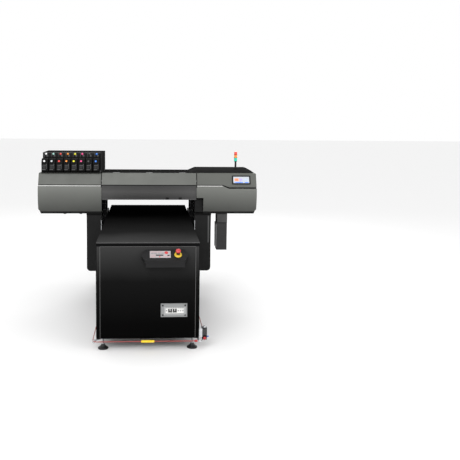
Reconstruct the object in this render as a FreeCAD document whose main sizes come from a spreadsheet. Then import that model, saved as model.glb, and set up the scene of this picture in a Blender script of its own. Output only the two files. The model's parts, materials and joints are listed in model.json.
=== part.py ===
import FreeCAD, Part
import math
import os
import re

import Sketcher

# A small UV flatbed printer: a gantry print unit straddles a deep vacuum table on a box cabinet.
# X runs to the right, Y to the back and Z up. The origin is on the floor, under the middle of the
# whole machine. Lengths are in millimetres.

DIMENSIONS = [
    ("cabinet_width", 770, "across the table"),
    ("cabinet_length", 2000, "front to back of the table"),
    ("front_plane", -981.3, "Y of the cabinet's front face"),
    ("cabinet_bottom", 90, "underside of the frame"),
    ("table_height", 820, "top of the vacuum table"),
    ("table_thickness", 25, "honeycomb table plate"),
    ("post_width", 25, "frame tubes, across"),
    ("post_depth", 60, "frame tubes, along"),
    ("side_gap_floor", 690, "bottom of the slot that the gantry runs in"),
    ("sheet", 2, "sheet steel of the cabinet's panels"),
    ("gantry_front", 296.7, "Y of the print unit's front face"),
    ("unit_depth", 450, "front to back of the print unit"),
    ("unit_half", 1025, "middle to either end of the print unit"),
    ("unit_inner", 436, "middle to the inner end of a side unit"),
    ("cover_left", -434, "left end of the opening cover"),
    ("cover_right", 451, "right end of the opening cover"),
    ("cover_bottom", 856, "lower edge of the side covers"),
    ("window_bottom", 969, "lower edge of the opening cover"),
    ("band_joint", 1102, "joint between lower and upper covers"),
    ("joint_gap", 9, "height of the gap at that joint"),
    ("unit_top", 1217, "top of the covers"),
    ("band_lean", 48, "how far the upper band leans back"),
    ("wall", 3, "wall of the print unit's covers"),
    ("bulge", 420, "radius of the lower covers' bowed front"),
    ("step_drop", 22, "how far the joint drops below the screen"),
    ("pan_bottom", 836, "underside of the drip pans"),
    ("plate_inner", 389, "middle to the inner face of the gantry's legs"),
    ("beam_bottom", 975, "underside of the cross beam"),
    ("beam_height", 110, "cross beam"),
    ("beam_depth", 120, "cross beam"),
    ("beam_setback", 230, "front of the unit to the front of the beam"),
    ("leg_bottom", 278, "lower end of the leg covers"),
    ("leg_outer", 580, "middle to the outer face of the left leg cover"),
    ("leg_outer_right", 597, "middle to the outer face of the right leg cover"),
    ("drain_left", 643, "middle to the left side of the drain bottle"),
    ("drain_right", 751, "middle to the right side of the bottle's holder"),
    ("drain_low", 487, "underside of the drain bottle"),
    ("drain_split", 740, "top of the drain bottle"),
    ("rack_left", -998, "left end of the ink rack"),
    ("rack_right", -434, "right end of the ink rack"),
    ("rack_top", 1400, "top of the ink rack"),
    ("rack_setback", 160, "front of the unit to the front of the rack"),
    ("rack_depth", 340, "ink rack"),
    ("cassette_pitch", 68, "one ink cassette to the next"),
    ("cassette_width", 60, "ink cassette"),
    ("cassette_top", 1349, "top of the ink cassettes"),
    ("cassette_out", 130, "how far the cassettes stand out of the rack"),
    ("rope_height", 84, "safety rope above the floor"),
    ("rope_standoff", 45, "safety rope in front of the cabinet"),
    ("rope_side", 410, "middle to the safety rope at the sides"),
    ("rope_radius", 3, "safety rope"),
    ("rope_bend", 36, "safety rope's bend at a corner"),
    ("foot_x", 337, "middle to a foot"),
    ("foot_inset", 50, "end of the cabinet to a foot"),
    ("slope", 35, "tilt of the control box's face, in degrees"),
    ("estop_x", 221, "emergency stop, across"),
    ("estop_down", 54, "emergency stop, down the sloping face"),
    ("bezel_left", 96, "breaker window's frame, left"),
    ("bezel_right", 294, "breaker window's frame, right"),
    ("bezel_low", 258, "breaker window's frame, bottom"),
    ("bezel_high", 360, "breaker window's frame, top"),
    ("module", 17.5, "width of one breaker module"),
    ("breaker_left", 131, "left side of the first module"),
    ("breaker_middle", 304.5, "mid height of the breakers"),
    ("tower_x", 837, "tower light, across"),
    ("tower_setback", 150, "front of the unit to the tower light"),
    ("tower_radius", 15, "tower light's lenses"),
    ("hood_top", 1247, "top of the hood on the right unit"),
    ("carriage_left", 560, "head carriage at its parking place, left side"),
    ("carriage_width", 360, "head carriage"),
]

doc = FreeCAD.newDocument("flatbed_printer")
dims = doc.addObject("Spreadsheet::Sheet", "dims")
for row, (alias, value, note) in enumerate(DIMENSIONS, start=1):
    dims.set(f"A{row}", note)
    dims.set(f"B{row}", str(value))
    dims.setAlias(f"B{row}", alias)
doc.recompute()

SIZE = {alias: float(value) for alias, value, note in DIMENSIONS}
NODES = []


# ---------------------------------------------------------------- helpers

def bound(text):
    """Turn a formula of the sheet's names into an expression that an object can be bound to."""
    return re.sub(r"[a-z_]+[a-z_0-9]*", lambda m: f"dims.{m[0]}" if m[0] in SIZE else m[0], str(text))


def value_of(text):
    """The present value of such a formula."""
    return float(dims.evalExpression(bound(text)))


def bind(thing, **formulas):
    """Bind properties to formulas; a dot in a property's name is written as two underscores."""
    for name, formula in formulas.items():
        thing.setExpression(name.replace("__", "."), bound(formula))
    return thing


def move(thing, x, y, z):
    return bind(thing, Placement__Base__x=x, Placement__Base__y=y, Placement__Base__z=z)


def box(name, x, y, z):
    """A block between two formulas on each axis."""
    block = doc.addObject("Part::Box", name)
    spans = [f"({high}) - ({low})" for low, high in (x, y, z)]
    bind(block, Length=spans[0], Width=spans[1], Height=spans[2])
    return move(block, x[0], y[0], z[0])


AXES = {
    "x": FreeCAD.Rotation(FreeCAD.Vector(0, 1, 0), 90),
    "y": FreeCAD.Rotation(FreeCAD.Vector(1, 0, 0), -90),
    "z": FreeCAD.Rotation(),
}


def rod(name, start, length, radius, axis="z"):
    """A cylinder from a start point along X, Y or Z."""
    cylinder = doc.addObject("Part::Cylinder", name)
    cylinder.Placement.Rotation = AXES[axis]
    bind(cylinder, Radius=radius, Height=length)
    return move(cylinder, *start)


def cone(name, start, length, low_radius, high_radius):
    shape = doc.addObject("Part::Cone", name)
    bind(shape, Radius1=low_radius, Radius2=high_radius, Height=length)
    return move(shape, *start)


def fuse(name, pieces):
    union = doc.addObject("Part::MultiFuse", name)
    union.Shapes = pieces
    union.Refine = True
    return union


def cut(name, base, tools):
    """One block less several others."""
    tool = tools[0] if len(tools) == 1 else fuse(f"{name}_tools", tools)
    difference = doc.addObject("Part::Cut", name)
    difference.Base = base
    difference.Tool = tool
    return difference


def group(name, pieces):
    """Separate solids that share one node."""
    compound = doc.addObject("Part::Compound", name)
    compound.Links = pieces
    return compound


def mirrored(name, source):
    """The same piece on the other side of the machine."""
    mirror = doc.addObject("Part::Mirroring", name)
    mirror.Source = source
    mirror.Normal = (1, 0, 0)
    return mirror


def node(label, thing):
    """Mark a finished piece, under the name that its file gets."""
    thing.Label = label
    NODES.append(thing)
    return thing


def arc_middle(start, end, radius):
    """A point half way along the arc that bows to the right of the line from start to end."""
    chord = end - start
    half = chord.Length / 2
    bow = radius - math.sqrt(radius * radius - half * half)
    right = FreeCAD.Vector(chord.y, -chord.x, 0).normalize()
    return start + chord * 0.5 + right * bow


def outline(body, name, plane, offset, steps):
    """A closed sketch. A step is (across, up), or (across, up, radius) where an arc leads to it."""
    origin_plane = [f for f in body.Origin.OriginFeatures if f.Role == plane][0]
    sketch = body.newObject("Sketcher::SketchObject", name)
    sketch.AttachmentSupport = [(origin_plane, "")]
    sketch.MapMode = "FlatFace"
    sketch.setExpression("AttachmentOffset.Base.z", bound(offset))
    points = [FreeCAD.Vector(value_of(step[0]), value_of(step[1]), 0) for step in steps]
    for number, step in enumerate(steps):
        start = points[number - 1]
        end = points[number]
        if len(step) == 3:
            middle = arc_middle(start, end, value_of(step[2]))
            sketch.addGeometry(Part.Arc(start, middle, end), False)
        else:
            sketch.addGeometry(Part.LineSegment(start, end), False)
    tips = []
    for number, edge in enumerate(sketch.Geometry):
        reversed_arc = (edge.EndPoint - points[number]).Length > 1e-6
        tips.append((2, 1) if reversed_arc else (1, 2))
    for number, step in enumerate(steps):
        after = (number + 1) % len(steps)
        sketch.addConstraint(Sketcher.Constraint(
            "Coincident", number, tips[number][1], after, tips[after][0]))
        for kind, axis in (("DistanceX", 0), ("DistanceY", 1)):
            place = points[number][axis]
            index = sketch.addConstraint(Sketcher.Constraint(
                kind, -1, 1, number, tips[number][1], place))
            sketch.setExpression(f"Constraints[{index}]", bound(step[axis]))
        if len(step) == 3:
            index = sketch.addConstraint(Sketcher.Constraint("Radius", number, value_of(step[2])))
            sketch.setExpression(f"Constraints[{index}]", bound(step[2]))
    return sketch


def padded(name, plane, offset, length, steps, pockets=()):
    """A body padded from one sketch, then cut by pockets of (offset, length, steps, plane)."""
    body = doc.addObject("PartDesign::Body", name)
    pad_sketch = outline(body, f"{name}_outline", plane, offset, steps)
    pad = body.newObject("PartDesign::Pad", f"{name}_pad")
    pad.Profile = pad_sketch
    pad.setExpression("Length", bound(length))
    doc.recompute()
    for number, (start, depth, hole, hole_plane) in enumerate(pockets):
        hole_sketch = outline(body, f"{name}_hole{number}", hole_plane, start, hole)
        before = body.Shape.Volume
        pocket = body.newObject("PartDesign::Pocket", f"{name}_pocket{number}")
        pocket.Profile = hole_sketch
        pocket.Reversed = True
        pocket.setExpression("Length", bound(depth))
        doc.recompute()
        if body.Shape.Volume >= before:
            raise RuntimeError(f"{name}: pocket {number} cuts nothing")
    return body


def rectangle(left, right, low, high):
    return [(left, low), (right, low), (right, high), (left, high)]


def tilted(thing, degrees, x, y, z):
    """Turn a piece about the X axis and put its own origin at a point."""
    thing.Placement.Rotation = FreeCAD.Rotation(FreeCAD.Vector(1, 0, 0), 0)
    thing.setExpression("Placement.Rotation.Angle", bound(degrees))
    thing.setExpression("Placement.Rotation.Axis.x", "1")
    thing.setExpression("Placement.Rotation.Axis.z", "0")
    return move(thing, x, y, z)


# Formulas that several pieces share.
HALF = "cabinet_width / 2"
SKIN = "cabinet_width / 2 - sheet"
FRONT = "front_plane"
BACK = "front_plane + cabinet_length"
UNDER_TABLE = "table_height - table_thickness"
GANTRY = "gantry_front"
GANTRY_BACK = "gantry_front + unit_depth"


# ---------------------------------------------------------------- cabinet

def make_frame():
    """Welded frame: corner posts, side and cross tubes, and the inner tubes that carry the rails."""
    inner = f"{SKIN} - post_width"
    tubes = []
    for end, (near, far) in enumerate(((FRONT, f"{FRONT} + post_depth"),
                                       (f"{BACK} - post_depth", BACK))):
        post = box(f"post{end}", (inner, SKIN), (near, far), ("cabinet_bottom", UNDER_TABLE))
        tubes += [post, mirrored(f"post{end}_left", post)]
    for number, (low, high) in enumerate((("cabinet_bottom", "cabinet_bottom + post_depth"),
                                          ("side_gap_floor - 34", "side_gap_floor - 4"))):
        side = box(f"side_tube{number}", (inner, SKIN), (FRONT, BACK), (low, high))
        tubes += [side, mirrored(f"side_tube{number}_left", side)]
    rail_tube = box("rail_tube", ("290", "340"), (f"{FRONT} + sheet + 1", f"{BACK} - sheet - 1"),
                    (f"{UNDER_TABLE} - post_depth", UNDER_TABLE))
    tubes += [rail_tube, mirrored("rail_tube_left", rail_tube)]
    for number, share in enumerate((0.34, 0.66)):
        middle = f"{FRONT} + cabinet_length * {share}"
        post = box(f"mid_post{number}", (inner, SKIN), (f"{middle} - 30", f"{middle} + 30"),
                   ("cabinet_bottom", "side_gap_floor - 4"))
        floor = box(f"floor_tube{number}", (f"-({SKIN})", SKIN), (f"{middle} - 30", f"{middle} + 30"),
                    ("cabinet_bottom", "cabinet_bottom + post_depth"))
        tubes += [post, mirrored(f"mid_post{number}_left", post), floor]
    for end, near in enumerate((f"{FRONT} + sheet + 1", f"{BACK} - sheet - 1 - post_depth")):
        for level, low in enumerate(("cabinet_bottom", f"{UNDER_TABLE} - post_depth")):
            tubes.append(box(f"cross_tube{end}{level}", (f"-({SKIN})", SKIN),
                             (near, f"{near} + post_depth"), (low, f"{low} + post_depth")))
    node("base_frame", fuse("base_frame", tubes))


def make_panels():
    """Sheet panels that close the cabinet below the table."""
    low = "cabinet_bottom + 3"
    high = f"{UNDER_TABLE} - 3"
    edge = f"{SKIN} - post_width - 1"
    front = padded("front_panel", "XZ_Plane", f"-({FRONT} + sheet)", "sheet",
                   rectangle(f"-({edge})", edge, low, high),
                   [(f"-({FRONT} + sheet)", "sheet",
                     rectangle("breaker_left - 6", "breaker_left + 8 * module + 6",
                               "breaker_middle - 30", "breaker_middle + 30"), "XZ_Plane")])
    node("front_panel", front)

    slots = [(f"-({BACK})", "sheet", rectangle("-300", "-230", "200", "260"), "XZ_Plane")]
    for number in range(8):
        slot_low = f"480 + {number} * 24"
        slots.append((f"-({BACK})", "sheet",
                      rectangle("-60", "60", slot_low, f"{slot_low} + 9"), "XZ_Plane"))
    rear = padded("rear_panel", "XZ_Plane", f"-({BACK})", "sheet",
                  rectangle(f"-({edge})", edge, low, high), slots)
    node("rear_panel", rear)

    side = box("side_right", (SKIN, HALF), (f"{FRONT} + sheet", f"{BACK} - sheet"),
               (low, "side_gap_floor - 4"))
    node("side_panels", group("side_panels", [side, mirrored("side_left", side)]))

    socket = box("inlet_body", ("-296", "-234"), (f"{BACK} - 40", BACK), ("204", "256"))
    flange = box("inlet_flange", ("-305", "-225"), (BACK, f"{BACK} + 5"), ("195", "265"))
    recess = box("inlet_recess", ("-288", "-242"), (f"{BACK} - 25", f"{BACK} + 6"), ("212", "248"))
    pins = [rod(f"inlet_pin{k}", (f"-265 + {dx}", f"{BACK} - 26", f"226 + {dz}"), "20", "2.4", "y")
            for k, (dx, dz) in enumerate(((-12, 0), (0, 10), (12, 0)))]
    shell = cut("inlet_shell", fuse("inlet_blank", [socket, flange]), [recess])
    node("power_inlet", fuse("power_inlet", [shell] + pins))


def make_table():
    """Vacuum table with its plenum, and the blower that empties the plenum."""
    plate = doc.addObject("PartDesign::Body", "table_top")
    sketch = outline(plate, "table_outline", "XY_Plane", UNDER_TABLE,
                     rectangle(f"-({HALF})", HALF, FRONT, BACK))
    pad = plate.newObject("PartDesign::Pad", "table_pad")
    pad.Profile = sketch
    pad.setExpression("Length", bound("table_thickness"))
    doc.recompute()
    top_edges = [f"Edge{number}" for number, edge in enumerate(pad.Shape.Edges, start=1)
                 if min(v.Z for v in edge.Vertexes) > SIZE["table_height"] - 1]
    chamfer = plate.newObject("PartDesign::Chamfer", "table_chamfer")
    chamfer.Base = (pad, top_edges)
    chamfer.Size = 2
    node("table_top", plate)

    chamber = padded("vacuum_chamber", "XY_Plane", f"{UNDER_TABLE} - 60", "60",
                     rectangle("-285", "285", f"{FRONT} + 70", f"{BACK} - 70"),
                     [(f"{UNDER_TABLE} - 57", "57",
                       rectangle("-282", "282", f"{FRONT} + 73", f"{BACK} - 73"), "XY_Plane")])
    node("vacuum_chamber", chamber)

    middle = f"{FRONT} + cabinet_length * 0.66"
    blower = [
        box("blower_foot", ("-190", "190"), (f"{middle} - 150", f"{middle} + 150"), ("150", "162")),
        box("blower_pillar", ("-70", "70"), (f"{middle} - 60", f"{middle} + 60"), ("162", "240")),
        rod("blower_ring", ("0", f"{middle} - 75", "370"), "150", "180", "y"),
        rod("blower_motor", ("0", f"{middle} + 75", "370"), "210", "95", "y"),
        rod("blower_riser", ("130", middle, "370"), f"{UNDER_TABLE} - 60 - 370", "30"),
    ]
    node("vacuum_blower", fuse("vacuum_blower", blower))

    plate_y = f"{FRONT} + 420"
    racks = [box("tray_plate", ("-330", "330"), (plate_y, f"{plate_y} + 4"), ("151", "640")),
             box("tray_foot", ("-330", "330"), (plate_y, f"{plate_y} + 60"), ("151", "155"))]
    for number, (left, right, low, high) in enumerate(
            ((-300, -60, 200, 330), (-30, 150, 200, 330), (180, 300, 200, 400), (-300, 120, 380, 590))):
        racks.append(box(f"tray_unit{number}", (left, right), (f"{plate_y} - 90", plate_y), (low, high)))
    node("electronics_tray", fuse("electronics_tray", racks))


def make_feet():
    """Four levelling feet: a domed pad on a threaded stem with a lock nut."""
    solids = []
    for side, x in (("left", "-foot_x"), ("right", "foot_x")):
        for end, y in (("front", f"{FRONT} + foot_inset"), ("rear", f"{BACK} - foot_inset")):
            tag = f"{side}_{end}"
            pad = fuse(f"pad_{tag}", [rod(f"pad_rim_{tag}", (x, y, "0"), "9", "40"),
                                      cone(f"pad_dome_{tag}", (x, y, "9"), "17", "38", "15"),
                                      rod(f"pad_neck_{tag}", (x, y, "26"), "9", "12")])
            stem = fuse(f"stem_{tag}", [rod(f"stem_rod_{tag}", (x, y, "35"), "cabinet_bottom - 35", "8"),
                                        rod(f"stem_nut_{tag}", (x, y, "cabinet_bottom - 13"), "13", "13")])
            solids += [pad, stem]
    node("levelling_feet", group("levelling_feet", solids))


# ---------------------------------------------------------------- controls on the cabinet's front

SLOPE_TOP = 768


def on_slope(thing):
    """Lay a piece that is drawn flat onto the control box's sloping face."""
    return tilted(thing, "slope", "0", FRONT, str(SLOPE_TOP))


def make_controls():
    """Sloping control box with its key panel and emergency stop."""
    slab = padded("box_slab", "XY_Plane", "-30", "30",
                  [("-14", "0"), ("-50", "-52"), ("-48", "-66"), ("-24", "-108"),
                   ("272", "-108"), ("293", "-62"), ("295", "-50"), ("268", "0")],
                  [("-22", "22", rectangle("estop_x - 13", "estop_x + 13",
                                           "-estop_down - 13", "-estop_down + 13"), "XY_Plane")])
    on_slope(slab)
    bracket = padded("box_bracket", "YZ_Plane", "-17", "289",
                     [(FRONT, "645"), (f"{FRONT} - 52", "645"), (f"{FRONT} - 72", "688"),
                      (FRONT, "736")])
    behind = box("box_behind", ("-80", "340"), (FRONT, f"{FRONT} + 60"), ("600", "800"))
    node("control_box", cut("control_box", fuse("box_blank", [slab, bracket]), [behind]))

    keypad = padded("control_keypad", "XY_Plane", "0", "2.5", rectangle("13", "166", "-83", "-16"))
    on_slope(keypad)
    node("control_keypad", keypad)

    middle = ("estop_x", "-estop_down")
    plate_and_ring = [rod("collar_plate", (*middle, "0"), "5", "28"),
                      cone("collar_ring", (*middle, "5"), "6", "26", "20")]
    collar = cut("estop_collar", fuse("collar_blank", plate_and_ring),
                 [rod("collar_bore", (*middle, "-1"), "20", "12.6")])
    on_slope(collar)
    node("estop_collar", collar)
    button = fuse("estop_button", [rod("button_stem", (*middle, "-12"), "56", "12.5"),
                                   rod("button_head", (*middle, "36"), "10", "19"),
                                   cone("button_dome", (*middle, "46"), "7", "19", "12")])
    on_slope(button)
    node("estop_button", button)


def make_breakers():
    """Breaker window: a framed opening, a row of modules and two two-pole handles."""
    right = "breaker_left + 8 * module"
    bezel = padded("breaker_bezel", "XZ_Plane", f"-({FRONT})", "10",
                   rectangle("bezel_left", "bezel_right", "bezel_low", "bezel_high"),
                   [(f"-({FRONT})", "10", rectangle("breaker_left", right, "breaker_middle - 24.5",
                                                   "breaker_middle + 24.5"), "XZ_Plane")])
    node("breaker_bezel", bezel)

    nose = box("breaker_nose", ("breaker_left + 0.5", f"{right} - 0.5"), (f"{FRONT} - 5", f"{FRONT} + 20"),
               ("breaker_middle - 22.5", "breaker_middle + 22.5"))
    back = box("breaker_back", ("breaker_left + 0.5", f"{right} - 0.5"), (f"{FRONT} + 14", f"{FRONT} + 66"),
               ("breaker_middle - 42", "breaker_middle + 42"))
    gaps = [box(f"module_gap{k}",
                (f"breaker_left + {k} * module - 0.4", f"breaker_left + {k} * module + 0.4"),
                (f"{FRONT} - 6", f"{FRONT} - 3"), ("breaker_middle - 30", "breaker_middle + 30"))
            for k in range(1, 8)]
    slots = [box(f"handle_slot{k}",
                 (f"breaker_left + {k} * module + 3", f"breaker_left + {k + 1} * module - 3"),
                 (f"{FRONT} - 6", f"{FRONT} + 18"), ("breaker_middle - 15", "breaker_middle + 15"))
             for k in range(1, 5)]
    block = cut("breaker_block", fuse("breaker_blank", [nose, back]), gaps + slots)
    node("breaker_block", block)

    for name, first in (("breaker_toggle_left", 1), ("breaker_toggle_right", 3)):
        pieces = []
        for k in (first, first + 1):
            low = f"breaker_left + {k} * module + 4.5"
            high = f"breaker_left + {k + 1} * module - 4.5"
            pieces.append(rod(f"handle_hub{k}", (low, f"{FRONT} + 8", "breaker_middle"),
                              "module - 9", "7", "x"))
            lever = box(f"handle_lever{k}", (low, high), (f"{FRONT} - 13", f"{FRONT} + 8"),
                        ("breaker_middle - 9", "breaker_middle - 3"))
            pieces.append(lever)
        across = (f"breaker_left + {first} * module + 4.5", f"breaker_left + {first + 2} * module - 4.5")
        pieces.append(box(f"handle_tie{first}", across, (f"{FRONT} - 13", f"{FRONT} - 7"),
                          ("breaker_middle - 9", "breaker_middle - 3")))
        node(name, fuse(name, pieces))


# ---------------------------------------------------------------- safety rope

ROPE_END_X = 356
SWITCH_X = 429
SWITCH_BACK = 72


def rope_edges():
    """The rope's line: straight runs joined by one bend at each corner it is led round."""
    side = SIZE["rope_side"]
    ahead = SIZE["front_plane"] - SIZE["rope_standoff"]
    behind = SIZE["front_plane"] + SIZE["cabinet_length"] + SIZE["rope_standoff"]
    level = SIZE["rope_height"]
    bend = SIZE["rope_bend"]
    inlet = FreeCAD.Vector(SWITCH_X, SIZE["front_plane"] + SWITCH_BACK, level + 18)
    route = [FreeCAD.Vector(ROPE_END_X, ahead, level), FreeCAD.Vector(-side, ahead, level),
             FreeCAD.Vector(-side, behind, level), FreeCAD.Vector(side, behind, level), inlet]
    edges = []
    start = route[0]
    for before, corner, after in zip(route, route[1:], route[2:]):
        coming = (corner - before).normalize()
        going = (after - corner).normalize()
        turn = coming.getAngle(going)
        reach = bend * math.tan(turn / 2)
        first = corner - coming * reach
        last = corner + going * reach
        inward = (going - coming).normalize()
        centre = corner + inward * (bend / math.cos(turn / 2))
        edges.append(Part.LineSegment(start, first).toShape())
        edges.append(Part.Arc(first, centre - inward * bend, last).toShape())
        start = last
    edges.append(Part.LineSegment(start, route[-1]).toShape())
    return edges


def make_rope():
    """Emergency pull rope round the cabinet, with its sleeve, guides, end fitting and switch."""
    edges = rope_edges()
    spine = Part.Wire(edges)
    section = Part.Wire([Part.makeCircle(SIZE["rope_radius"], edges[0].Vertexes[0].Point,
                                         FreeCAD.Vector(-1, 0, 0))])
    tube = spine.makePipeShell([section], True, False, 1)
    share = tube.Volume / (math.pi * SIZE["rope_radius"] ** 2 * spine.Length)
    print(f"safety rope: {spine.Length:.0f} mm long, bends of {SIZE['rope_bend']:.0f} mm, "
          f"volume {share:.4f} of section times length")
    rope = doc.addObject("Part::Feature", "safety_rope")
    rope.Shape = tube
    node("safety_rope", rope)

    rope_y = f"{FRONT} - rope_standoff"
    sleeve = rod("tag_sleeve", ("-49", rope_y, "rope_height"), "98", "9.5", "x")
    bore = rod("tag_bore", ("-50", rope_y, "rope_height"), "100", "rope_radius + 0.3", "x")
    node("rope_tag", cut("rope_tag", sleeve, [bore]))

    bullet = rod("end_sleeve", (f"{ROPE_END_X} - 7", rope_y, "rope_height"), "23", "8", "x")
    socket = rod("end_socket", (f"{ROPE_END_X} - 8", rope_y, "rope_height"), "8", "rope_radius + 0.3", "x")
    node("rope_end_cap", cut("rope_end_cap", bullet, [socket]))

    solids = []
    corners = (("front_left", -1, -1), ("rear_left", -1, 1), ("rear_right", 1, 1))
    for tag, across, along in corners:
        solids += [rope_guide(tag, across, along)]
    eye = doc.addObject("Part::Torus", "anchor_eye")
    bind(eye, Radius1="12", Radius2="3")
    move(eye, "390", rope_y, "rope_height")
    link = rod("anchor_link", (f"{ROPE_END_X} + 16", rope_y, "rope_height"), "12", "4", "x")
    arm = box("anchor_arm", ("372", "384"), (f"{rope_y} + 8", f"{FRONT} + 40"), ("84", "cabinet_bottom"))
    solids.append(fuse("anchor", [eye, link, arm]))
    plate = fuse("switch_plate", [
        box("switch_foot", (HALF, f"{HALF} + 4"), (f"{FRONT} + 10", f"{FRONT} + 80"), ("94", "168")),
        box("switch_shelf", (HALF, "411"), (f"{FRONT} + 10", f"{FRONT} + 14"), ("94", "160")),
        box("switch_back", ("408", "411"), (f"{FRONT} + 10", f"{FRONT} + 80"), ("94", "160"))])
    solids.append(plate)
    node("rope_fittings", group("rope_fittings", solids))

    back = f"{FRONT} + {SWITCH_BACK} - 12"
    node("rope_switch", cut("rope_switch", fuse("switch_blank", [
        box("switch_body", ("411", "447"), (f"{FRONT} + 20", back), ("70", "160")),
        cone("switch_cap", (SWITCH_X, f"{FRONT} + 40", "160"), "10", "15", "9"),
        rod("switch_spout", (SWITCH_X, back, "rope_height + 18"), "12", "9", "y")]), [
            rod("spout_bore", (SWITCH_X, f"{back} + 4", "rope_height + 18"), "9", "rope_radius + 0.3", "y"),
            rod("knob_bore", (SWITCH_X, f"{FRONT} + 19", "84"), "16", "5.1", "y")]))
    node("rope_switch_knob", fuse("rope_switch_knob", [
        rod("knob_stem", (SWITCH_X, f"{FRONT} + 8", "84"), "20", "5", "y"),
        rod("knob_head", (SWITCH_X, f"{FRONT} + 2", "84"), "10", "12", "y")]))


def rope_guide(tag, across, along):
    """A corner guide: a ring round the rope on a flat arm bolted under the corner post."""
    turn = 45 if across * along > 0 else -45
    rope_x = SIZE["rope_side"]
    rope_y = SIZE["cabinet_length"] / 2 + SIZE["rope_standoff"]
    inset = SIZE["rope_bend"] * (1 - math.sqrt(0.5))
    centre_y = SIZE["front_plane"] + SIZE["cabinet_length"] / 2
    middle = FreeCAD.Vector(across * (rope_x - inset), centre_y + along * (rope_y - inset),
                            SIZE["rope_height"])
    ring = doc.addObject("Part::Torus", f"guide_ring_{tag}")
    bind(ring, Radius1="11", Radius2="3")
    stand = FreeCAD.Rotation(FreeCAD.Vector(0, 0, 1), turn) * FreeCAD.Rotation(FreeCAD.Vector(1, 0, 0), 90)
    ring.Placement = FreeCAD.Placement(middle, stand)
    arm = doc.addObject("Part::Box", f"guide_arm_{tag}")
    arm.Length = 52
    arm.Width = 16
    arm.Height = 6
    heading = math.degrees(math.atan2(-along, -across))
    spin = FreeCAD.Rotation(FreeCAD.Vector(0, 0, 1), heading)
    corner = middle + spin.multVec(FreeCAD.Vector(11, -8, 0))
    arm.Placement = FreeCAD.Placement(corner, spin)
    return fuse(f"guide_{tag}", [ring, arm])


# ---------------------------------------------------------------- gantry carriage

LEG_FRONT = f"{GANTRY} + 105"
LEG_BACK = f"{GANTRY} + 395"
SCREW_X = 352
SCREW_Z = 712


def make_running_gear():
    """Rails and ball screw under the table's edges, and the plates that run along them."""
    rail = box("rail_right", ("340", "358"), (f"{FRONT} + 66", f"{BACK} - 66"), ("752", "768"))
    supports = []
    for number, near in enumerate((f"{FRONT} + 64", f"{BACK} - 84")):
        foot = box(f"screw_block{number}", (f"-{SCREW_X} - 14", f"-{SCREW_X} + 14"),
                   (near, f"{near} + 20"), ("686", "735"))
        supports.append(cut(f"screw_support{number}", foot, [
            rod(f"screw_seat{number}", (f"-{SCREW_X}", f"{near} - 1", SCREW_Z), "22", "10.05", "y")]))
    node("y_rails", group("y_rails", [rail, mirrored("rail_left", rail)] + supports))
    node("y_screw", rod("y_screw", (f"-{SCREW_X}", f"{FRONT} + 64", SCREW_Z),
                        "cabinet_length - 128", "10", "y"))

    blocks = []
    for number, near in enumerate((f"{LEG_FRONT} + 15", f"{LEG_BACK} - 105")):
        span = (near, f"{near} + 90")
        body = box(f"slider{number}", ("342", "plate_inner"), span, ("740", "780"))
        way = box(f"slider_way{number}", ("341", "358.6"), (f"{near} - 1", f"{near} + 91"),
                  ("751.4", "768.6"))
        block = cut(f"slider_block{number}", body, [way])
        blocks += [block, mirrored(f"slider_block{number}_left", block)]
    nut_y = f"{LEG_FRONT} + 115"
    nut = cut("screw_nut", fuse("nut_blank", [
        rod("nut_body", (f"-{SCREW_X}", nut_y, SCREW_Z), "60", "17", "y"),
        box("nut_arm", ("-plate_inner", f"-{SCREW_X}"), (nut_y, f"{nut_y} + 60"), ("702", "722"))]),
        [rod("nut_bore", (f"-{SCREW_X}", f"{nut_y} - 1", SCREW_Z), "62", "10.05", "y")])
    node("y_bearing_blocks", group("y_bearing_blocks", blocks + [nut]))

    plate = fuse("leg_plate", [
        box("leg_sheet", ("plate_inner", "plate_inner + 12"), (LEG_FRONT, LEG_BACK), ("440", "838")),
        box("lift_rail", ("plate_inner + 12", "plate_inner + 24"),
            (f"{GANTRY} + 240", f"{GANTRY} + 260"), ("445", "836"))])
    node("y_carriage_plates", group("y_carriage_plates", [plate, mirrored("leg_plate_left", plate)]))


def make_lift():
    """Brackets that slide up and down the legs and carry the cross beam."""
    web = box("bracket_web", ("plate_inner + 28", "plate_inner + 40"), (LEG_FRONT, LEG_BACK),
              ("480", "beam_bottom"))
    flanges = [box(f"bracket_flange{number}", ("plate_inner + 14", "plate_inner + 30"),
                   (near, f"{near} + 12"), ("480", "beam_bottom"))
               for number, near in enumerate((LEG_FRONT, f"{LEG_BACK} - 12"))]
    blocks = []
    for number, low in enumerate(("572", "714")):
        body = box(f"lift_block{number}", ("plate_inner + 13", "plate_inner + 28"),
                   (f"{GANTRY} + 228", f"{GANTRY} + 272"), (low, f"{low} + 60"))
        way = box(f"lift_way{number}", ("plate_inner + 12", "plate_inner + 24.6"),
                  (f"{GANTRY} + 239.4", f"{GANTRY} + 260.6"), (f"{low} - 1", f"{low} + 61"))
        blocks.append(cut(f"lift_slider{number}", body, [way]))
    bracket = fuse("lift_bracket", [web] + flanges + blocks)
    node("lift_brackets", group("lift_brackets", [bracket, mirrored("lift_bracket_left", bracket)]))

    near = f"{GANTRY} + beam_setback"
    low = "beam_bottom"
    beam = padded("beam", "YZ_Plane", "-(unit_half - 40)", "2 * (unit_half - 40)",
                  rectangle(near, f"{near} + beam_depth", low, f"{low} + beam_height"),
                  [("-unit_half", "2 * unit_half",
                    rectangle(f"{near} + 8", f"{near} + beam_depth - 8",
                              f"{low} + 8", f"{low} + beam_height - 8"), "YZ_Plane")])
    node("beam", beam)
    rail = box("x_rail", ("-(unit_half - 50)", "unit_half - 50"), (f"{near} - 12", near),
               (f"{low} + 45", f"{low} + 63"))
    node("x_rail", rail)


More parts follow.
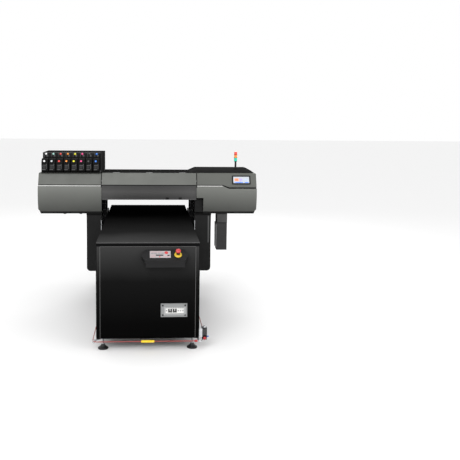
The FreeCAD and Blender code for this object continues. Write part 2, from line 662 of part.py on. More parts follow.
def make_carriage():
    """Head carriage with its print heads and curing lamps, and the capping station below it."""
    near = f"{GANTRY} + 66"
    far = f"{GANTRY} + beam_setback - 14"
    left = "carriage_left"
    right = "carriage_left + carriage_width"
    housing = padded("carriage_housing", "YZ_Plane", left, "carriage_width",
                     [(near, "1000"), (far, "1000"), (far, "1192"), (f"{near} + 34", "1192"),
                      (near, "1130")])
    parts = [housing]
    for number, start in enumerate((f"{left} + 40", f"{right} - 130")):
        body = box(f"runner{number}", (start, f"{start} + 90"), (far, f"{GANTRY} + beam_setback - 1"),
                   ("beam_bottom + 34", "beam_bottom + 74"))
        way = box(f"runner_way{number}", (f"{start} - 1", f"{start} + 91"),
                  (f"{GANTRY} + beam_setback - 12.6", f"{GANTRY} + beam_setback"),
                  ("beam_bottom + 44.4", "beam_bottom + 63.6"))
        parts.append(cut(f"runner_block{number}", body, [way]))
    for number in range(3):
        start = f"{left} + 108 + {number} * 52"
        parts.append(box(f"head{number}", (start, f"{start} + 40"), (f"{near} + 24", f"{far} - 24"),
                         ("978", "1000")))
    for number, start in enumerate((f"{left} + 12", f"{right} - 82")):
        parts.append(box(f"lamp{number}", (start, f"{start} + 70"), (f"{near} + 12", f"{far} - 12"),
                         ("984", "1000")))
    node("head_carriage", fuse("head_carriage", parts))

    base = box("capping_base", (f"{left} + 90", f"{right} - 90"), (f"{near} + 10", far),
               ("pan_bottom + 3", "930"))
    caps = [box(f"cap{number}", (f"{left} + 110 + {number} * 52", f"{left} + 146 + {number} * 52"),
                (f"{near} + 28", f"{far} - 28"), ("930", "962")) for number in range(3)]
    node("capping_station", fuse("capping_station", [base] + caps))


# ---------------------------------------------------------------- covers of the print unit

JOINT_LOW = "band_joint - joint_gap / 2"
JOINT_HIGH = "band_joint + joint_gap / 2"


END_WALL = 5
CORNER_ROUND = 10
CORNER_CUT = 22
LEAN = "atan((band_lean - 4) / (unit_top - 8 - band_joint - joint_gap / 2))"


def lower_profile():
    """Side view of a lower cover, bowed in front."""
    return [(GANTRY_BACK, "cover_bottom"), (GANTRY_BACK, JOINT_LOW), (f"{GANTRY} + 5", JOINT_LOW),
            (f"{GANTRY} + 24", "cover_bottom", "bulge")]


def lower_hollow():
    """Inside of a lower cover, running out past its open top and bottom."""
    return [(f"{GANTRY_BACK} - wall", "cover_bottom - 20"), (f"{GANTRY_BACK} - wall", f"{JOINT_LOW} + 20"),
            (f"{GANTRY} + 5 + wall", f"{JOINT_LOW} + 20"), (f"{GANTRY} + 5 + wall", JOINT_LOW),
            (f"{GANTRY} + 24 + wall", "cover_bottom", "bulge - wall"),
            (f"{GANTRY} + 24 + wall", "cover_bottom - 20")]


def upper_profile(low):
    """Side view of an upper cover down to a given height, leaning back in front."""
    return [(GANTRY_BACK, low), (GANTRY_BACK, "unit_top - 12"), (f"{GANTRY_BACK} - 12", "unit_top"),
            (f"{GANTRY} + band_lean + 8", "unit_top"), (f"{GANTRY} + band_lean", "unit_top - 8"),
            (f"{GANTRY} + 4", JOINT_HIGH), (f"{GANTRY} + 4", f"{low} - 0.5")]


def upper_hollow(low):
    """Inside of an upper cover, running out past its open underside."""
    return [(f"{GANTRY_BACK} - wall", f"{low} - 20"), (f"{GANTRY_BACK} - wall", "unit_top - wall - 12"),
            (f"{GANTRY_BACK} - wall - 12", "unit_top - wall"),
            (f"{GANTRY} + band_lean + 9", "unit_top - wall"),
            (f"{GANTRY} + band_lean + wall", "unit_top - wall - 6"),
            (f"{GANTRY} + 4 + wall", JOINT_HIGH), (f"{GANTRY} + 4 + wall", f"{low} - 20")]


def end_shell(name, side, reach, profile, hollow):
    """A cover closed at its outer end, with that end's front and top edges rounded."""
    outer = f"{side} * {reach}"
    start = outer if side < 0 else "unit_inner + 17"
    length = f"{reach} - unit_inner" if side < 0 else f"{reach} - unit_inner - 17"
    body = doc.addObject("PartDesign::Body", name)
    sketch = outline(body, f"{name}_outline", "YZ_Plane", start, profile)
    pad = body.newObject("PartDesign::Pad", f"{name}_pad")
    pad.Profile = sketch
    pad.setExpression("Length", bound(length))
    doc.recompute()
    end_x = value_of(outer)
    low = min(vertex.Z for vertex in pad.Shape.Vertexes)
    edges = [f"Edge{number}" for number, edge in enumerate(pad.Shape.Edges, start=1)
             if all(abs(vertex.X - end_x) < 0.01 for vertex in edge.Vertexes)
             and not all(vertex.Z < low + 1 for vertex in edge.Vertexes)]
    rounding = body.newObject("PartDesign::Fillet", f"{name}_rounding")
    rounding.Base = (pad, edges)
    rounding.Radius = CORNER_ROUND
    doc.recompute()
    hollow_start = f"-({reach}) + {END_WALL}" if side < 0 else "unit_inner - 20"
    hollow_length = f"{reach}" if side < 0 else f"{reach} - {END_WALL} - unit_inner + 20"
    hollow_sketch = outline(body, f"{name}_hollow", "YZ_Plane", hollow_start, hollow)
    before = body.Shape.Volume
    pocket = body.newObject("PartDesign::Pocket", f"{name}_pocket")
    pocket.Profile = hollow_sketch
    pocket.Reversed = True
    pocket.setExpression("Length", bound(hollow_length))
    doc.recompute()
    if body.Shape.Volume >= before:
        raise RuntimeError(f"{name}: the hollow cuts nothing")
    return body


def prism(name, steps, near, far):
    """A front-view outline run from one Y to another."""
    return padded(name, "XZ_Plane", f"-({far})", f"({far}) - ({near})", steps)


def corner_tool(name, side):
    """Cuts off a side unit's lower outer corner."""
    outer = f"{side} * unit_half"
    inner = f"{side} * (unit_half - {CORNER_CUT})"
    beyond = f"{side} * (unit_half + 10)"
    steps = [(inner, "cover_bottom"), (inner, "cover_bottom - 10"), (beyond, "cover_bottom - 10"),
             (beyond, f"cover_bottom + {CORNER_CUT}"), (outer, f"cover_bottom + {CORNER_CUT}")]
    return prism(name, steps, f"{GANTRY} - 60", f"{GANTRY_BACK} + 20")


STEP_START = 705
STEP_END = 760


def make_side_units():
    """Lower and upper covers of both side units, open towards the table."""
    low = end_shell("left_low_shell", -1, "unit_half", lower_profile(), lower_hollow())
    node("left_lower_cover", cut("left_lower_cover", low, [corner_tool("left_corner", -1)]))
    node("left_upper_cover", end_shell("left_upper_cover", -1, "(unit_half - 3)",
                                       upper_profile(JOINT_HIGH), upper_hollow(JOINT_HIGH)))

    far = f"{GANTRY_BACK} + 20"
    near = f"{GANTRY} - 60"
    low = end_shell("right_low_shell", 1, "unit_half", lower_profile(), lower_hollow())
    above_step = prism("above_step", [(STEP_START, f"{JOINT_LOW} + 30"), (STEP_START, JOINT_LOW),
                                      (STEP_END, f"{JOINT_LOW} - step_drop"),
                                      ("unit_half + 20", f"{JOINT_LOW} - step_drop"),
                                      ("unit_half + 20", f"{JOINT_LOW} + 30")], near, far)
    notch = box("notch", ("unit_inner", "518"), (near, f"{GANTRY} + 60"), ("cover_bottom - 5", "988"))
    node("right_lower_cover", cut("right_lower_cover", low,
                                  [corner_tool("right_corner", 1), above_step, notch]))
    dropped = f"{JOINT_HIGH} - step_drop"
    high = end_shell("right_high_shell", 1, "(unit_half - 3)", upper_profile(dropped),
                     upper_hollow(dropped))
    below_step = prism("below_step", [("unit_inner", f"{dropped} - 10"), (STEP_END, f"{dropped} - 10"),
                                      (STEP_END, dropped), (STEP_START, JOINT_HIGH),
                                      ("unit_inner", JOINT_HIGH)], near, far)
    node("right_upper_cover", cut("right_upper_cover", high, [below_step]))

    left_trim = box("trim_left", ("-(unit_half - 12)", "-(unit_inner + 2)"),
                    (f"{GANTRY} + 3", f"{GANTRY} + 16"), (JOINT_LOW, f"{JOINT_LOW} + 5"))
    right_trim = prism("trim_right", [("cover_right + 3", JOINT_LOW), (f"{STEP_START} - 2", JOINT_LOW),
                                      (f"{STEP_START} + 4", f"{JOINT_LOW} - 1.5"),
                                      (f"{STEP_START} - 8", f"{JOINT_LOW} + 3"),
                                      (f"{STEP_START} - 16", f"{JOINT_LOW} + 5"),
                                      ("cover_right + 3", f"{JOINT_LOW} + 5")],
                       f"{GANTRY} + 3", f"{GANTRY} + 4.8")
    node("trim_strips", group("trim_strips", [left_trim, right_trim]))

    pans = []
    for side, inner in ((-1, "unit_inner + 4"), (1, "518")):
        steps = [(f"{side} * ({inner})", "pan_bottom"), (f"{side} * (unit_half - 24)", "pan_bottom"),
                 (f"{side} * (unit_half - 7)", "pan_bottom + 38"),
                 (f"{side} * (unit_half - 10)", "pan_bottom + 38"),
                 (f"{side} * (unit_half - 26)", "pan_bottom + 3"),
                 (f"{side} * ({inner})", "pan_bottom + 3")]
        near = f"{GANTRY} + 30"
        far = f"{GANTRY_BACK} - 6"
        pan = [prism(f"pan{side + 1}", steps, near, far)]
        for number, y in enumerate((near, f"{far} - 3")):
            left = f"{side} * ({inner})"
            right = f"{side} * (unit_half - 26)"
            span = (right, left) if side < 0 else (left, right)
            pan.append(box(f"pan_lip{side + 1}{number}", span, (y, f"{y} + 3"),
                           ("pan_bottom", "pan_bottom + 36")))
        if side < 0:
            for number, x in enumerate((-783, -635)):
                pan.append(rod(f"pan_boss{number}", (x, f"{GANTRY} + 70", "pan_bottom - 8"), "8", "14"))
        pans.append(fuse(f"pan_{'left' if side < 0 else 'right'}", pan))
    node("drip_pans", group("drip_pans", pans))
    node("maintenance_box", box("maintenance_box", ("unit_inner + 4", "515"),
                                (f"{GANTRY} + 30", f"{GANTRY_BACK} - 20"), ("848", "970")))


def make_middle_covers():
    """Fixed cover behind the opening cover, the hood on the right unit, and the opening cover."""
    left = "cover_left + 1"
    width = "cover_right - cover_left - 2"
    back = GANTRY_BACK
    near = f"{GANTRY} + band_lean + 18"
    node("middle_cover", padded("middle_cover", "YZ_Plane", left, width, [
        (near, "unit_top"), (near, "unit_top - wall"), (f"{back} - wall", "unit_top - wall"),
        (f"{back} - wall", "beam_bottom"), (back, "beam_bottom"), (back, "unit_top")]))
    node("right_hood", prism("right_hood", [
        ("unit_inner - 40", "unit_top"), ("unit_inner - 36", "unit_top + 4"),
        ("unit_inner + 16", "hood_top - 4"), ("unit_inner + 28", "hood_top"),
        ("955", "hood_top"), ("980", "hood_top - 8"), ("1003", "unit_top + 3"),
        ("1005", "unit_top")], f"{GANTRY} + 90", f"{back} - 16"))

    lean_end = f"{GANTRY} + band_lean"
    band = padded("band_shell", "YZ_Plane", "cover_left", "cover_right - cover_left", [
        (f"{GANTRY} + 4", JOINT_HIGH), (f"{GANTRY} + 20", JOINT_HIGH),
        (f"{GANTRY} + 20", f"{JOINT_HIGH} + 3"),
        (f"{GANTRY} + 8.5", f"{JOINT_HIGH} + 3"), (f"{lean_end} + wall", "unit_top - 9.5"),
        (f"{lean_end} + 9.5", "unit_top - wall"), (f"{lean_end} + 13", "unit_top - wall"),
        (f"{lean_end} + 13", "unit_top"), (f"{lean_end} + 8", "unit_top"), (lean_end, "unit_top - 8")])
    knuckles = [rod(f"knuckle{number}", (x, f"{GANTRY} + 62", "unit_top - 2"), "60", "3.5", "x")
                for number, x in enumerate((-330, -20, 290))]
    node("front_cover_band", fuse("front_cover_band", [band] + knuckles))
    pane = padded("window_pane", "YZ_Plane", "cover_left", "cover_right - cover_left", [
        (f"{GANTRY} + 4", "window_bottom"), (f"{GANTRY} + 16", "window_bottom"),
        (f"{GANTRY} + 16", "window_bottom + 3"), (f"{GANTRY} + 8", "window_bottom + 3"),
        (f"{GANTRY} + 8", f"{JOINT_LOW} - 30"), (f"{GANTRY} + 12", f"{JOINT_LOW} - 30"),
        (f"{GANTRY} + 12", JOINT_HIGH), (f"{GANTRY} + 8", JOINT_HIGH), (f"{GANTRY} + 8", JOINT_LOW),
        (f"{GANTRY} + 4", JOINT_LOW)])
    tabs = [box(f"tab{number}", (x - 13, x + 13), (f"{GANTRY} - 2", f"{GANTRY} + 4.5"),
                ("window_bottom + 4", "window_bottom + 22")) for number, x in enumerate((178, 300))]
    node("front_cover_window", fuse("front_cover_window", [pane] + tabs))


def make_screen():
    """Touch screen set on the right unit's leaning band."""
    angle = f"-{LEAN}"
    foot = ("790", f"{GANTRY} + 4 + 9.5 * tan({LEAN}) - 0.3", "band_joint + joint_gap / 2 + 9.5")
    frame = cut("lcd_bezel", box("bezel_block", ("0", "173"), ("-7", "0"), ("0", "85")),
                [box("bezel_well", ("9", "164"), ("-8", "-3"), ("9", "76"))])
    node("lcd_bezel", tilted(frame, angle, *foot))
    glass = padded("lcd_screen", "XZ_Plane", "3.1", "2.9", rectangle("9.3", "163.7", "9.3", "75.7"))
    node("lcd_screen", tilted(glass, angle, *foot))


def make_tower():
    """Tower light: foot and pole, then green, orange and red lenses."""
    y = f"{GANTRY} + tower_setback"
    foot = fuse("tower_pole", [rod("tower_foot", ("tower_x", y, "hood_top"), "12", "22"),
                               cone("tower_flare", ("tower_x", y, "hood_top + 12"), "10", "22", "9"),
                               rod("tower_tube", ("tower_x", y, "hood_top + 12"), "66", "9")])
    node("tower_pole", foot)
    lenses = []
    for number, (low, high) in enumerate(((78, 112), (112.4, 139), (139.4, 165))):
        lenses.append(rod(f"tower_lens{number}", ("tower_x", y, f"hood_top + {low}"), high - low,
                          "tower_radius"))
    lenses[2] = fuse("tower_top", [lenses[2], cone("tower_cap", ("tower_x", y, "hood_top + 165"), "4",
                                                   "tower_radius", "10")])
    node("tower_lenses", group("tower_lenses", lenses))


BAYS = 8
BAY_WIDTH = 64


def make_ink_rack():
    """Ink rack on the left unit, with one sliding cassette in each bay."""
    near = f"{GANTRY} + rack_setback"
    far = f"{near} + rack_depth"
    bays = [(f"rack_left + 4 + {k} * cassette_pitch") for k in range(BAYS)]
    blank = fuse("rack_blank", [
        box("rack_body", ("rack_left", "rack_right"), (near, far), ("unit_top", "rack_top")),
        padded("rack_end", "YZ_Plane", "rack_right - 14", "14", [
            (far, "unit_top"), (far, "rack_top"), (f"{near} - 20", "rack_top"),
            (f"{near} - 100", "cassette_top"), (f"{near} - 110", "unit_top + 14"),
            (f"{near} - 95", "unit_top")])])
    hollows = [box(f"bay{k}", (left, f"{left} + {BAY_WIDTH}"), (f"{near} - 1", f"{near} + 215"),
                   ("unit_top + 3", "cassette_top + 2")) for k, left in enumerate(bays)]
    node("ink_rack", cut("ink_rack", blank, hollows))

    front = f"{near} - cassette_out"
    for k, left in enumerate(bays):
        start = f"{left} + ({BAY_WIDTH} - cassette_width) / 2"
        name = f"ink_cassette_{k + 1}"
        steps = [(f"{front} + 14", "unit_top + 5"), (f"{near} + 200", "unit_top + 5"),
                 (f"{near} + 200", "cassette_top"), (f"{front} + 40", "cassette_top"),
                 (front, "cassette_top - 40", "60"), (front, "unit_top + 21")]
        grip = rectangle(f"{front} - 1", f"{front} + 12", "cassette_top - 92", "cassette_top - 62")
        node(name, padded(name, "YZ_Plane", start, "cassette_width", steps,
                          [(f"{start} + 12", "cassette_width - 24", grip, "YZ_Plane")]))


def make_hangers():
    """Covers that hang beside the legs, and the drain bottle in its holder under the right unit."""
    low = "leg_bottom"
    round_left = [("-unit_inner - 4", "pan_bottom"), ("-leg_outer", "pan_bottom"),
                  ("-leg_outer", f"{low} + 35"),
                  ("-leg_outer + 35", low, "35"), ("-unit_inner - 4", low)]
    round_right = [("unit_inner + 4", low), ("leg_outer_right - 35", low),
                   ("leg_outer_right", f"{low} + 35", "35"), ("leg_outer_right", "pan_bottom"),
                   ("unit_inner + 4", "pan_bottom")]
    near = f"{GANTRY} + 60"
    far = f"{GANTRY} + 360"
    inside = ((f"{near} + 3", f"{far} - 3"), (f"{low} + 12", "pan_bottom + 5"))
    hollow_left = box("leg_hollow_left", ("-leg_outer + 12", "-unit_inner - 7"), *inside)
    hollow_right = box("leg_hollow_right", ("unit_inner + 7", "leg_outer_right - 12"), *inside)
    slot = box("leg_slot", ("leg_outer_right - 30", "leg_outer_right - 16"),
               (f"{near} - 10", f"{near} + 10"), ("552", "810"))
    shell_left = cut("leg_shell_left", prism("leg_cover_left", round_left, near, far), [hollow_left])
    shell_right = cut("leg_shell_right", prism("leg_cover_right", round_right, near, far),
                      [hollow_right, slot])
    node("leg_covers", group("leg_covers", [shell_left, shell_right]))

    near = f"{GANTRY} + 50"
    far = f"{GANTRY} + 170"
    across = ("drain_left + 9", "drain_right")
    node("drain_holder", fuse("drain_holder", [
        box("holder_head", across, (near, far), ("drain_split + 2", "pan_bottom")),
        box("holder_back", across, (f"{far} - 4", far), ("drain_low - 5", "drain_split + 2")),
        box("holder_shelf", across, (near, far), ("drain_low - 5", "drain_low - 1"))]))
    node("drain_bottle", prism("drain_bottle", [
        ("drain_left + 18", "drain_low"), ("drain_right - 1", "drain_low"),
        ("drain_right - 1", "drain_split"), ("drain_left", "drain_split"),
        ("drain_left", "drain_low + 18")],
        f"{GANTRY} + 46", f"{far} - 5"))


def check_and_write():
    """Stop on any failed object or shape, then write one file for each node."""
    doc.recompute()
    for thing in doc.Objects:
        if "Invalid" in thing.State or "Error" in thing.State:
            raise RuntimeError(f"{thing.Label}: {thing.State}")
    os.makedirs("parts", exist_ok=True)
    whole = FreeCAD.BoundBox()
    for thing in NODES:
        shape = thing.Shape
        if shape.isNull() or not shape.isValid() or not shape.Solids:
            raise RuntimeError(f"{thing.Label}: bad shape")
        whole.add(shape.BoundBox)
        shape.exportStep(f"parts/{thing.Label}.step")
        print(f"{thing.Label}: {len(shape.Solids)} solid(s), {shape.Volume / 1000:.0f} cm3")
    print(f"{len(NODES)} nodes")
    print(f"X {whole.XMin:.1f} to {whole.XMax:.1f}, Y {whole.YMin:.1f} to {whole.YMax:.1f}, "
          f"Z {whole.ZMin:.1f} to {whole.ZMax:.1f}")


make_frame()
make_panels()
make_table()
make_feet()
make_controls()
make_breakers()
make_rope()
make_running_gear()
make_lift()
make_carriage()
make_side_units()
make_middle_covers()
make_screen()
make_tower()
make_ink_rack()
make_hangers()
check_and_write()
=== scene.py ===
import json
import math

import bmesh
import bpy
from mathutils import Matrix, Vector


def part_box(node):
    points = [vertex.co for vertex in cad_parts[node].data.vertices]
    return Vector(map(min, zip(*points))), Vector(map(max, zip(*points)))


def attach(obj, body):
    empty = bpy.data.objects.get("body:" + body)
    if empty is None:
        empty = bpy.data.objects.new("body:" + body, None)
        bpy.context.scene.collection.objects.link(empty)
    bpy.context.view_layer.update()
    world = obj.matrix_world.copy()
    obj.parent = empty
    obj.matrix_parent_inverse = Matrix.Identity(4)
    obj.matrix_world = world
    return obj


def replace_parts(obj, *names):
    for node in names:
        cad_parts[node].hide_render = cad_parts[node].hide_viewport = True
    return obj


# The looks of a small UV flatbed printer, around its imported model. Metres, +Z up, front at -Y.

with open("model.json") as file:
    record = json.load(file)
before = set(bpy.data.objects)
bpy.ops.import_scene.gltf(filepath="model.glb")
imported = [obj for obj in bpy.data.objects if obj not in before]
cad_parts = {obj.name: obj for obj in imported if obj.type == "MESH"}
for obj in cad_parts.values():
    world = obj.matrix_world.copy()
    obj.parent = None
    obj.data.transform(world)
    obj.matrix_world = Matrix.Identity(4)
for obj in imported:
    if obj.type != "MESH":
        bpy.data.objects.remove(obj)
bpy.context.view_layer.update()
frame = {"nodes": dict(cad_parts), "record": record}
NODES = frame["nodes"]


# ---- camera, light and floor

CAMERA_PLACE = (0.0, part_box("table_top")[0].y - 4.68, 1.765)
CAMERA_YAW = 3.2
CAMERA_PITCH = 5.35
CAMERA_ROLL = 0.5
CAMERA_LENS = 50.1
CAMERA_SHIFT = (0.1, -0.12)
FLOOR_HALF = 40
LIGHTS = (("key", (-1.2, -4.4, 4.2), (0, -0.2, 0.8), (2.6, 2.6), 110),
          ("fill", (3.2, -3.6, 2.6), (0.2, -0.2, 0.8), (2.2, 2.2), 30),
          ("back", (0.6, 4.2, 3.6), (0, 0.3, 1.0), (3.0, 1.6), 60))
SIDES = (-1, 1)


def make_camera():
    camera = bpy.data.objects.new("camera", bpy.data.cameras.new("camera"))
    bpy.context.scene.collection.objects.link(camera)
    camera.location = CAMERA_PLACE
    yaw = Matrix.Rotation(math.radians(-CAMERA_YAW), 3, "Z")
    pitch = Matrix.Rotation(math.radians(90 - CAMERA_PITCH), 3, "X")
    roll = Matrix.Rotation(math.radians(CAMERA_ROLL), 3, "Z")
    camera.rotation_euler = (yaw @ pitch @ roll).to_euler()
    camera.data.sensor_width = 36
    camera.data.lens = CAMERA_LENS
    camera.data.shift_x, camera.data.shift_y = CAMERA_SHIFT
    camera.data.clip_end = 200
    bpy.context.scene.camera = camera


def make_light(name, place, target, size, watts):
    data = bpy.data.lights.new(name, "AREA")
    data.shape = "RECTANGLE"
    data.size, data.size_y = size
    data.energy = watts
    light = bpy.data.objects.new(name, data)
    bpy.context.scene.collection.objects.link(light)
    light.location = place
    light.rotation_mode = "QUATERNION"
    light.rotation_quaternion = (Vector(target) - Vector(place)).to_track_quat("-Z", "Y")


def make_studio():
    """A plain pale floor, an even white surround and soft lights."""
    scene = bpy.context.scene
    scene.view_settings.view_transform = "Standard"
    world = bpy.data.worlds.new("studio")
    world.use_nodes = True
    world.node_tree.nodes["Background"].inputs["Color"].default_value = (1, 1, 1, 1)
    world.node_tree.nodes["Background"].inputs["Strength"].default_value = 1.0
    scene.world = world
    floor_mesh = bpy.data.meshes.new("floor")
    corners = [(-1, -1), (1, -1), (1, 1), (-1, 1)]
    floor_mesh.from_pydata([(x * FLOOR_HALF, y * FLOOR_HALF, 0) for x, y in corners], [], [(0, 1, 2, 3)])
    floor = bpy.data.objects.new("floor", floor_mesh)
    scene.collection.objects.link(floor)
    floor.data.materials.append(plain_floor())
    for light in LIGHTS:
        make_light(*light)


def plain_floor():
    material = bpy.data.materials.new("floor")
    material.use_nodes = True
    shader = material.node_tree.nodes["Principled BSDF"]
    shader.inputs["Base Color"].default_value = (0.9, 0.9, 0.9, 1)
    shader.inputs["Roughness"].default_value = 0.9
    shader.inputs["Specular IOR Level"].default_value = 0.1
    return material


# ---- materials

def grey(level):
    return (level, level, level)


class Surface:
    """Builds one procedural material around a Principled shader, in object space."""

    def __init__(self, name, rough, metallic=0.0, specular=0.5):
        self.material = bpy.data.materials.new(name)
        self.material.use_nodes = True
        self.tree = self.material.node_tree
        self.shader = self.tree.nodes["Principled BSDF"]
        self.shader.inputs["Metallic"].default_value = metallic
        self.shader.inputs["Roughness"].default_value = rough
        self.shader.inputs["Specular IOR Level"].default_value = specular
        self.place = self.tree.nodes.new("ShaderNodeTexCoord").outputs["Object"]
        self.normal = None

    def node(self, kind, **settings):
        made = self.tree.nodes.new(kind)
        for key, value in settings.items():
            setattr(made, key, value)
        return made

    def link(self, a, b):
        self.tree.links.new(a, b)

    def noise(self, scale, detail=4.0, stretch=(1, 1, 1)):
        """Noise whose grain is about 1/scale metres; a stretch below 1 draws it out along that axis."""
        mapping = self.node("ShaderNodeMapping")
        mapping.inputs["Scale"].default_value = stretch
        self.link(self.place, mapping.inputs["Vector"])
        noise = self.node("ShaderNodeTexNoise")
        noise.inputs["Scale"].default_value = scale
        noise.inputs["Detail"].default_value = detail
        self.link(mapping.outputs["Vector"], noise.inputs["Vector"])
        return noise.outputs["Fac"]

    def ramp(self, value, stops):
        ramp = self.node("ShaderNodeValToRGB")
        elements = ramp.color_ramp.elements
        while len(elements) < len(stops):
            elements.new(0.5)
        for element, (position, color) in zip(elements, stops):
            element.position = position
            element.color = (*color, 1)
        self.link(value, ramp.inputs["Fac"])
        return ramp.outputs["Color"]

    def span(self, value, low, high, new_low, new_high):
        scale = self.node("ShaderNodeMapRange")
        limits = {"From Min": low, "From Max": high, "To Min": new_low, "To Max": new_high}
        for key, number in limits.items():
            scale.inputs[key].default_value = number
        self.link(value, scale.inputs["Value"])
        return scale.outputs["Result"]

    def height(self):
        """The height above the floor."""
        split = self.node("ShaderNodeSeparateXYZ")
        self.link(self.place, split.inputs["Vector"])
        return split.outputs["Z"]

    def mottled(self, color, spread=0.12, scale=9.0):
        """A colour that drifts a little lighter and darker over the surface."""
        dark = tuple(c * (1 - spread) for c in color)
        light = tuple(min(1, c * (1 + spread)) for c in color)
        shade = self.ramp(self.noise(scale), [(0.3, dark), (0.7, light)])
        self.link(shade, self.shader.inputs["Base Color"])
        return self

    def uneven_gloss(self, low, high, scale=30.0, stretch=(1, 1, 1)):
        """Roughness that wanders between two values."""
        rough = self.span(self.noise(scale, 3, stretch), 0.3, 0.7, low, high)
        self.link(rough, self.shader.inputs["Roughness"])
        return self

    def bump(self, value, distance, strength=1.0):
        bump = self.node("ShaderNodeBump")
        bump.inputs["Distance"].default_value = distance
        bump.inputs["Strength"].default_value = strength
        self.link(value, bump.inputs["Height"])
        if self.normal is not None:
            self.link(self.normal, bump.inputs["Normal"])
        self.normal = bump.outputs["Normal"]
        self.link(self.normal, self.shader.inputs["Normal"])
        return self

    def grain(self, scale, distance, strength=0.5, stretch=(1, 1, 1)):
        return self.bump(self.noise(scale, 2, stretch), distance, strength)


def powder_coat(name, color, rough=0.5, specular=0.3):
    """Satin powder coat: fine orange peel over a slightly uneven colour."""
    surface = Surface(name, rough, specular=specular).mottled(color, 0.08, 3.0)
    surface.uneven_gloss(rough - 0.06, rough + 0.06, 14)
    return surface.grain(900, 0.00025, 0.35).material


def table_coat_with_painted_shade(name):
    """Matt black table coating with painted shade: its colour runs from near black at the back to a
    lighter grey at the front.
    """
    surface = Surface(name, 0.6, specular=0.0)
    split = surface.node("ShaderNodeSeparateXYZ")
    surface.link(surface.place, split.inputs["Vector"])
    drift = surface.node("ShaderNodeMath", operation="ADD")
    surface.link(split.outputs["Y"], drift.inputs[0])
    surface.link(surface.span(surface.noise(3, 3), 0.3, 0.7, -0.06, 0.06), drift.inputs[1])
    along = surface.span(drift.outputs[0], -1.0, 0.3, 0, 1)
    surface.link(surface.ramp(along, [(0, grey(0.045)), (0.35, grey(0.013)),
                                      (1, grey(0.0012))]), surface.shader.inputs["Base Color"])
    return surface.grain(700, 0.0002, 0.3).material


def satin_paint_with_painted_shade(name, stops, low, high, rough, specular):
    """Satin paint with painted shade: its colour runs from one height (stop 0) to another (stop 1)."""
    surface = Surface(name, rough, specular=specular)
    drift = surface.node("ShaderNodeMath", operation="ADD")
    surface.link(surface.height(), drift.inputs[0])
    surface.link(surface.span(surface.noise(4, 3), 0.3, 0.7, -0.008, 0.008), drift.inputs[1])
    shade = surface.span(drift.outputs[0], low, high, 0, 1)
    surface.link(surface.ramp(shade, stops), surface.shader.inputs["Base Color"])
    surface.uneven_gloss(rough - 0.05, rough + 0.07, 20)
    return surface.grain(1100, 0.0002, 0.3).material


def moulded(name, color, rough=0.5, specular=0.35, grain=0.0003):
    """Moulded plastic with a fine leather-like texture."""
    surface = Surface(name, rough, specular=specular).mottled(color, 0.1, 12)
    surface.uneven_gloss(rough - 0.05, rough + 0.08, 40)
    cells = surface.node("ShaderNodeTexVoronoi")
    cells.inputs["Scale"].default_value = 1400
    surface.link(surface.place, cells.inputs["Vector"])
    return surface.bump(cells.outputs["Distance"], grain, 0.35).material


def glossy(name, color, rough=0.22, spread=0.05):
    """Smooth moulded plastic with a coat."""
    surface = Surface(name, rough).mottled(color, spread, 25)
    surface.shader.inputs["Coat Weight"].default_value = 0.3
    surface.shader.inputs["Coat Roughness"].default_value = 0.15
    return surface.uneven_gloss(rough - 0.06, rough + 0.06, 60).grain(300, 0.0001, 0.2).material


def brushed(name, color, rough=0.32, stretch=(0.02, 1, 1)):
    """Ground or brushed metal, drawn out along one axis."""
    surface = Surface(name, rough, metallic=1.0).mottled(color, 0.12, 30)
    surface.uneven_gloss(rough - 0.1, rough + 0.12, 700, stretch)
    return surface.grain(1500, 0.00012, 0.4, stretch).material


def smoked_pane(name):
    """Dark smoked acrylic with a painted sheen: darkest at its foot, lightest a little above the middle,
    with faint long streaks.
    """
    surface = Surface(name, 0.3, specular=0.45)
    shade = surface.span(surface.height(), 0.97, 1.1, 0, 1)
    surface.link(surface.ramp(shade, [(0, grey(0.018)), (0.55, (0.055, 0.054, 0.053)),
                                      (1, grey(0.03))]), surface.shader.inputs["Base Color"])
    surface.shader.inputs["Coat Weight"].default_value = 0.25
    surface.shader.inputs["Coat Roughness"].default_value = 0.2
    surface.uneven_gloss(0.24, 0.4, 40, (0.05, 1, 1))
    return surface.grain(220, 0.0001, 0.25, (0.04, 1, 1)).material


def threaded(name, color, pitch):
    """Steel with a helix cut round the Y axis, as on a ball screw."""
    surface = Surface(name, 0.25, metallic=1.0).mottled(color, 0.1, 40)
    wave = surface.node("ShaderNodeTexWave", bands_direction="Y")
    wave.inputs["Scale"].default_value = 0.314 / pitch
    wave.inputs["Distortion"].default_value = 0.0
    surface.link(surface.place, wave.inputs["Vector"])
    return surface.bump(wave.outputs["Fac"], 0.002, 0.8).material


def lit_lens(name, color, glow):
    """Translucent coloured lens with fine flutes, softly lit from inside."""
    surface = Surface(name, 0.18).mottled(color, 0.15, 60)
    surface.shader.inputs["Emission Color"].default_value = (*color, 1)
    surface.shader.inputs["Emission Strength"].default_value = glow
    surface.shader.inputs["Coat Weight"].default_value = 0.4
    return surface.grain(500, 0.0002, 0.3, (1, 1, 0.05)).material


def lit_panel(name, color, glow):
    """A lit patch of a display, with a fine pixel mottle."""
    surface = Surface(name, 0.25).mottled(color, 0.04, 900)
    surface.shader.inputs["Emission Color"].default_value = (*color, 1)
    surface.shader.inputs["Emission Strength"].default_value = glow
    return surface.uneven_gloss(0.2, 0.3, 80).material


def roped(name, color):
    """Plastic-sheathed rope: twisted strands show through as slanting ridges."""
    surface = Surface(name, 0.4).mottled(color, 0.2, 60)
    wave = surface.node("ShaderNodeTexWave", bands_direction="DIAGONAL")
    wave.inputs["Scale"].default_value = 60
    wave.inputs["Distortion"].default_value = 0.5
    surface.link(surface.place, wave.inputs["Vector"])
    return surface.bump(wave.outputs["Fac"], 0.0006, 0.5).material


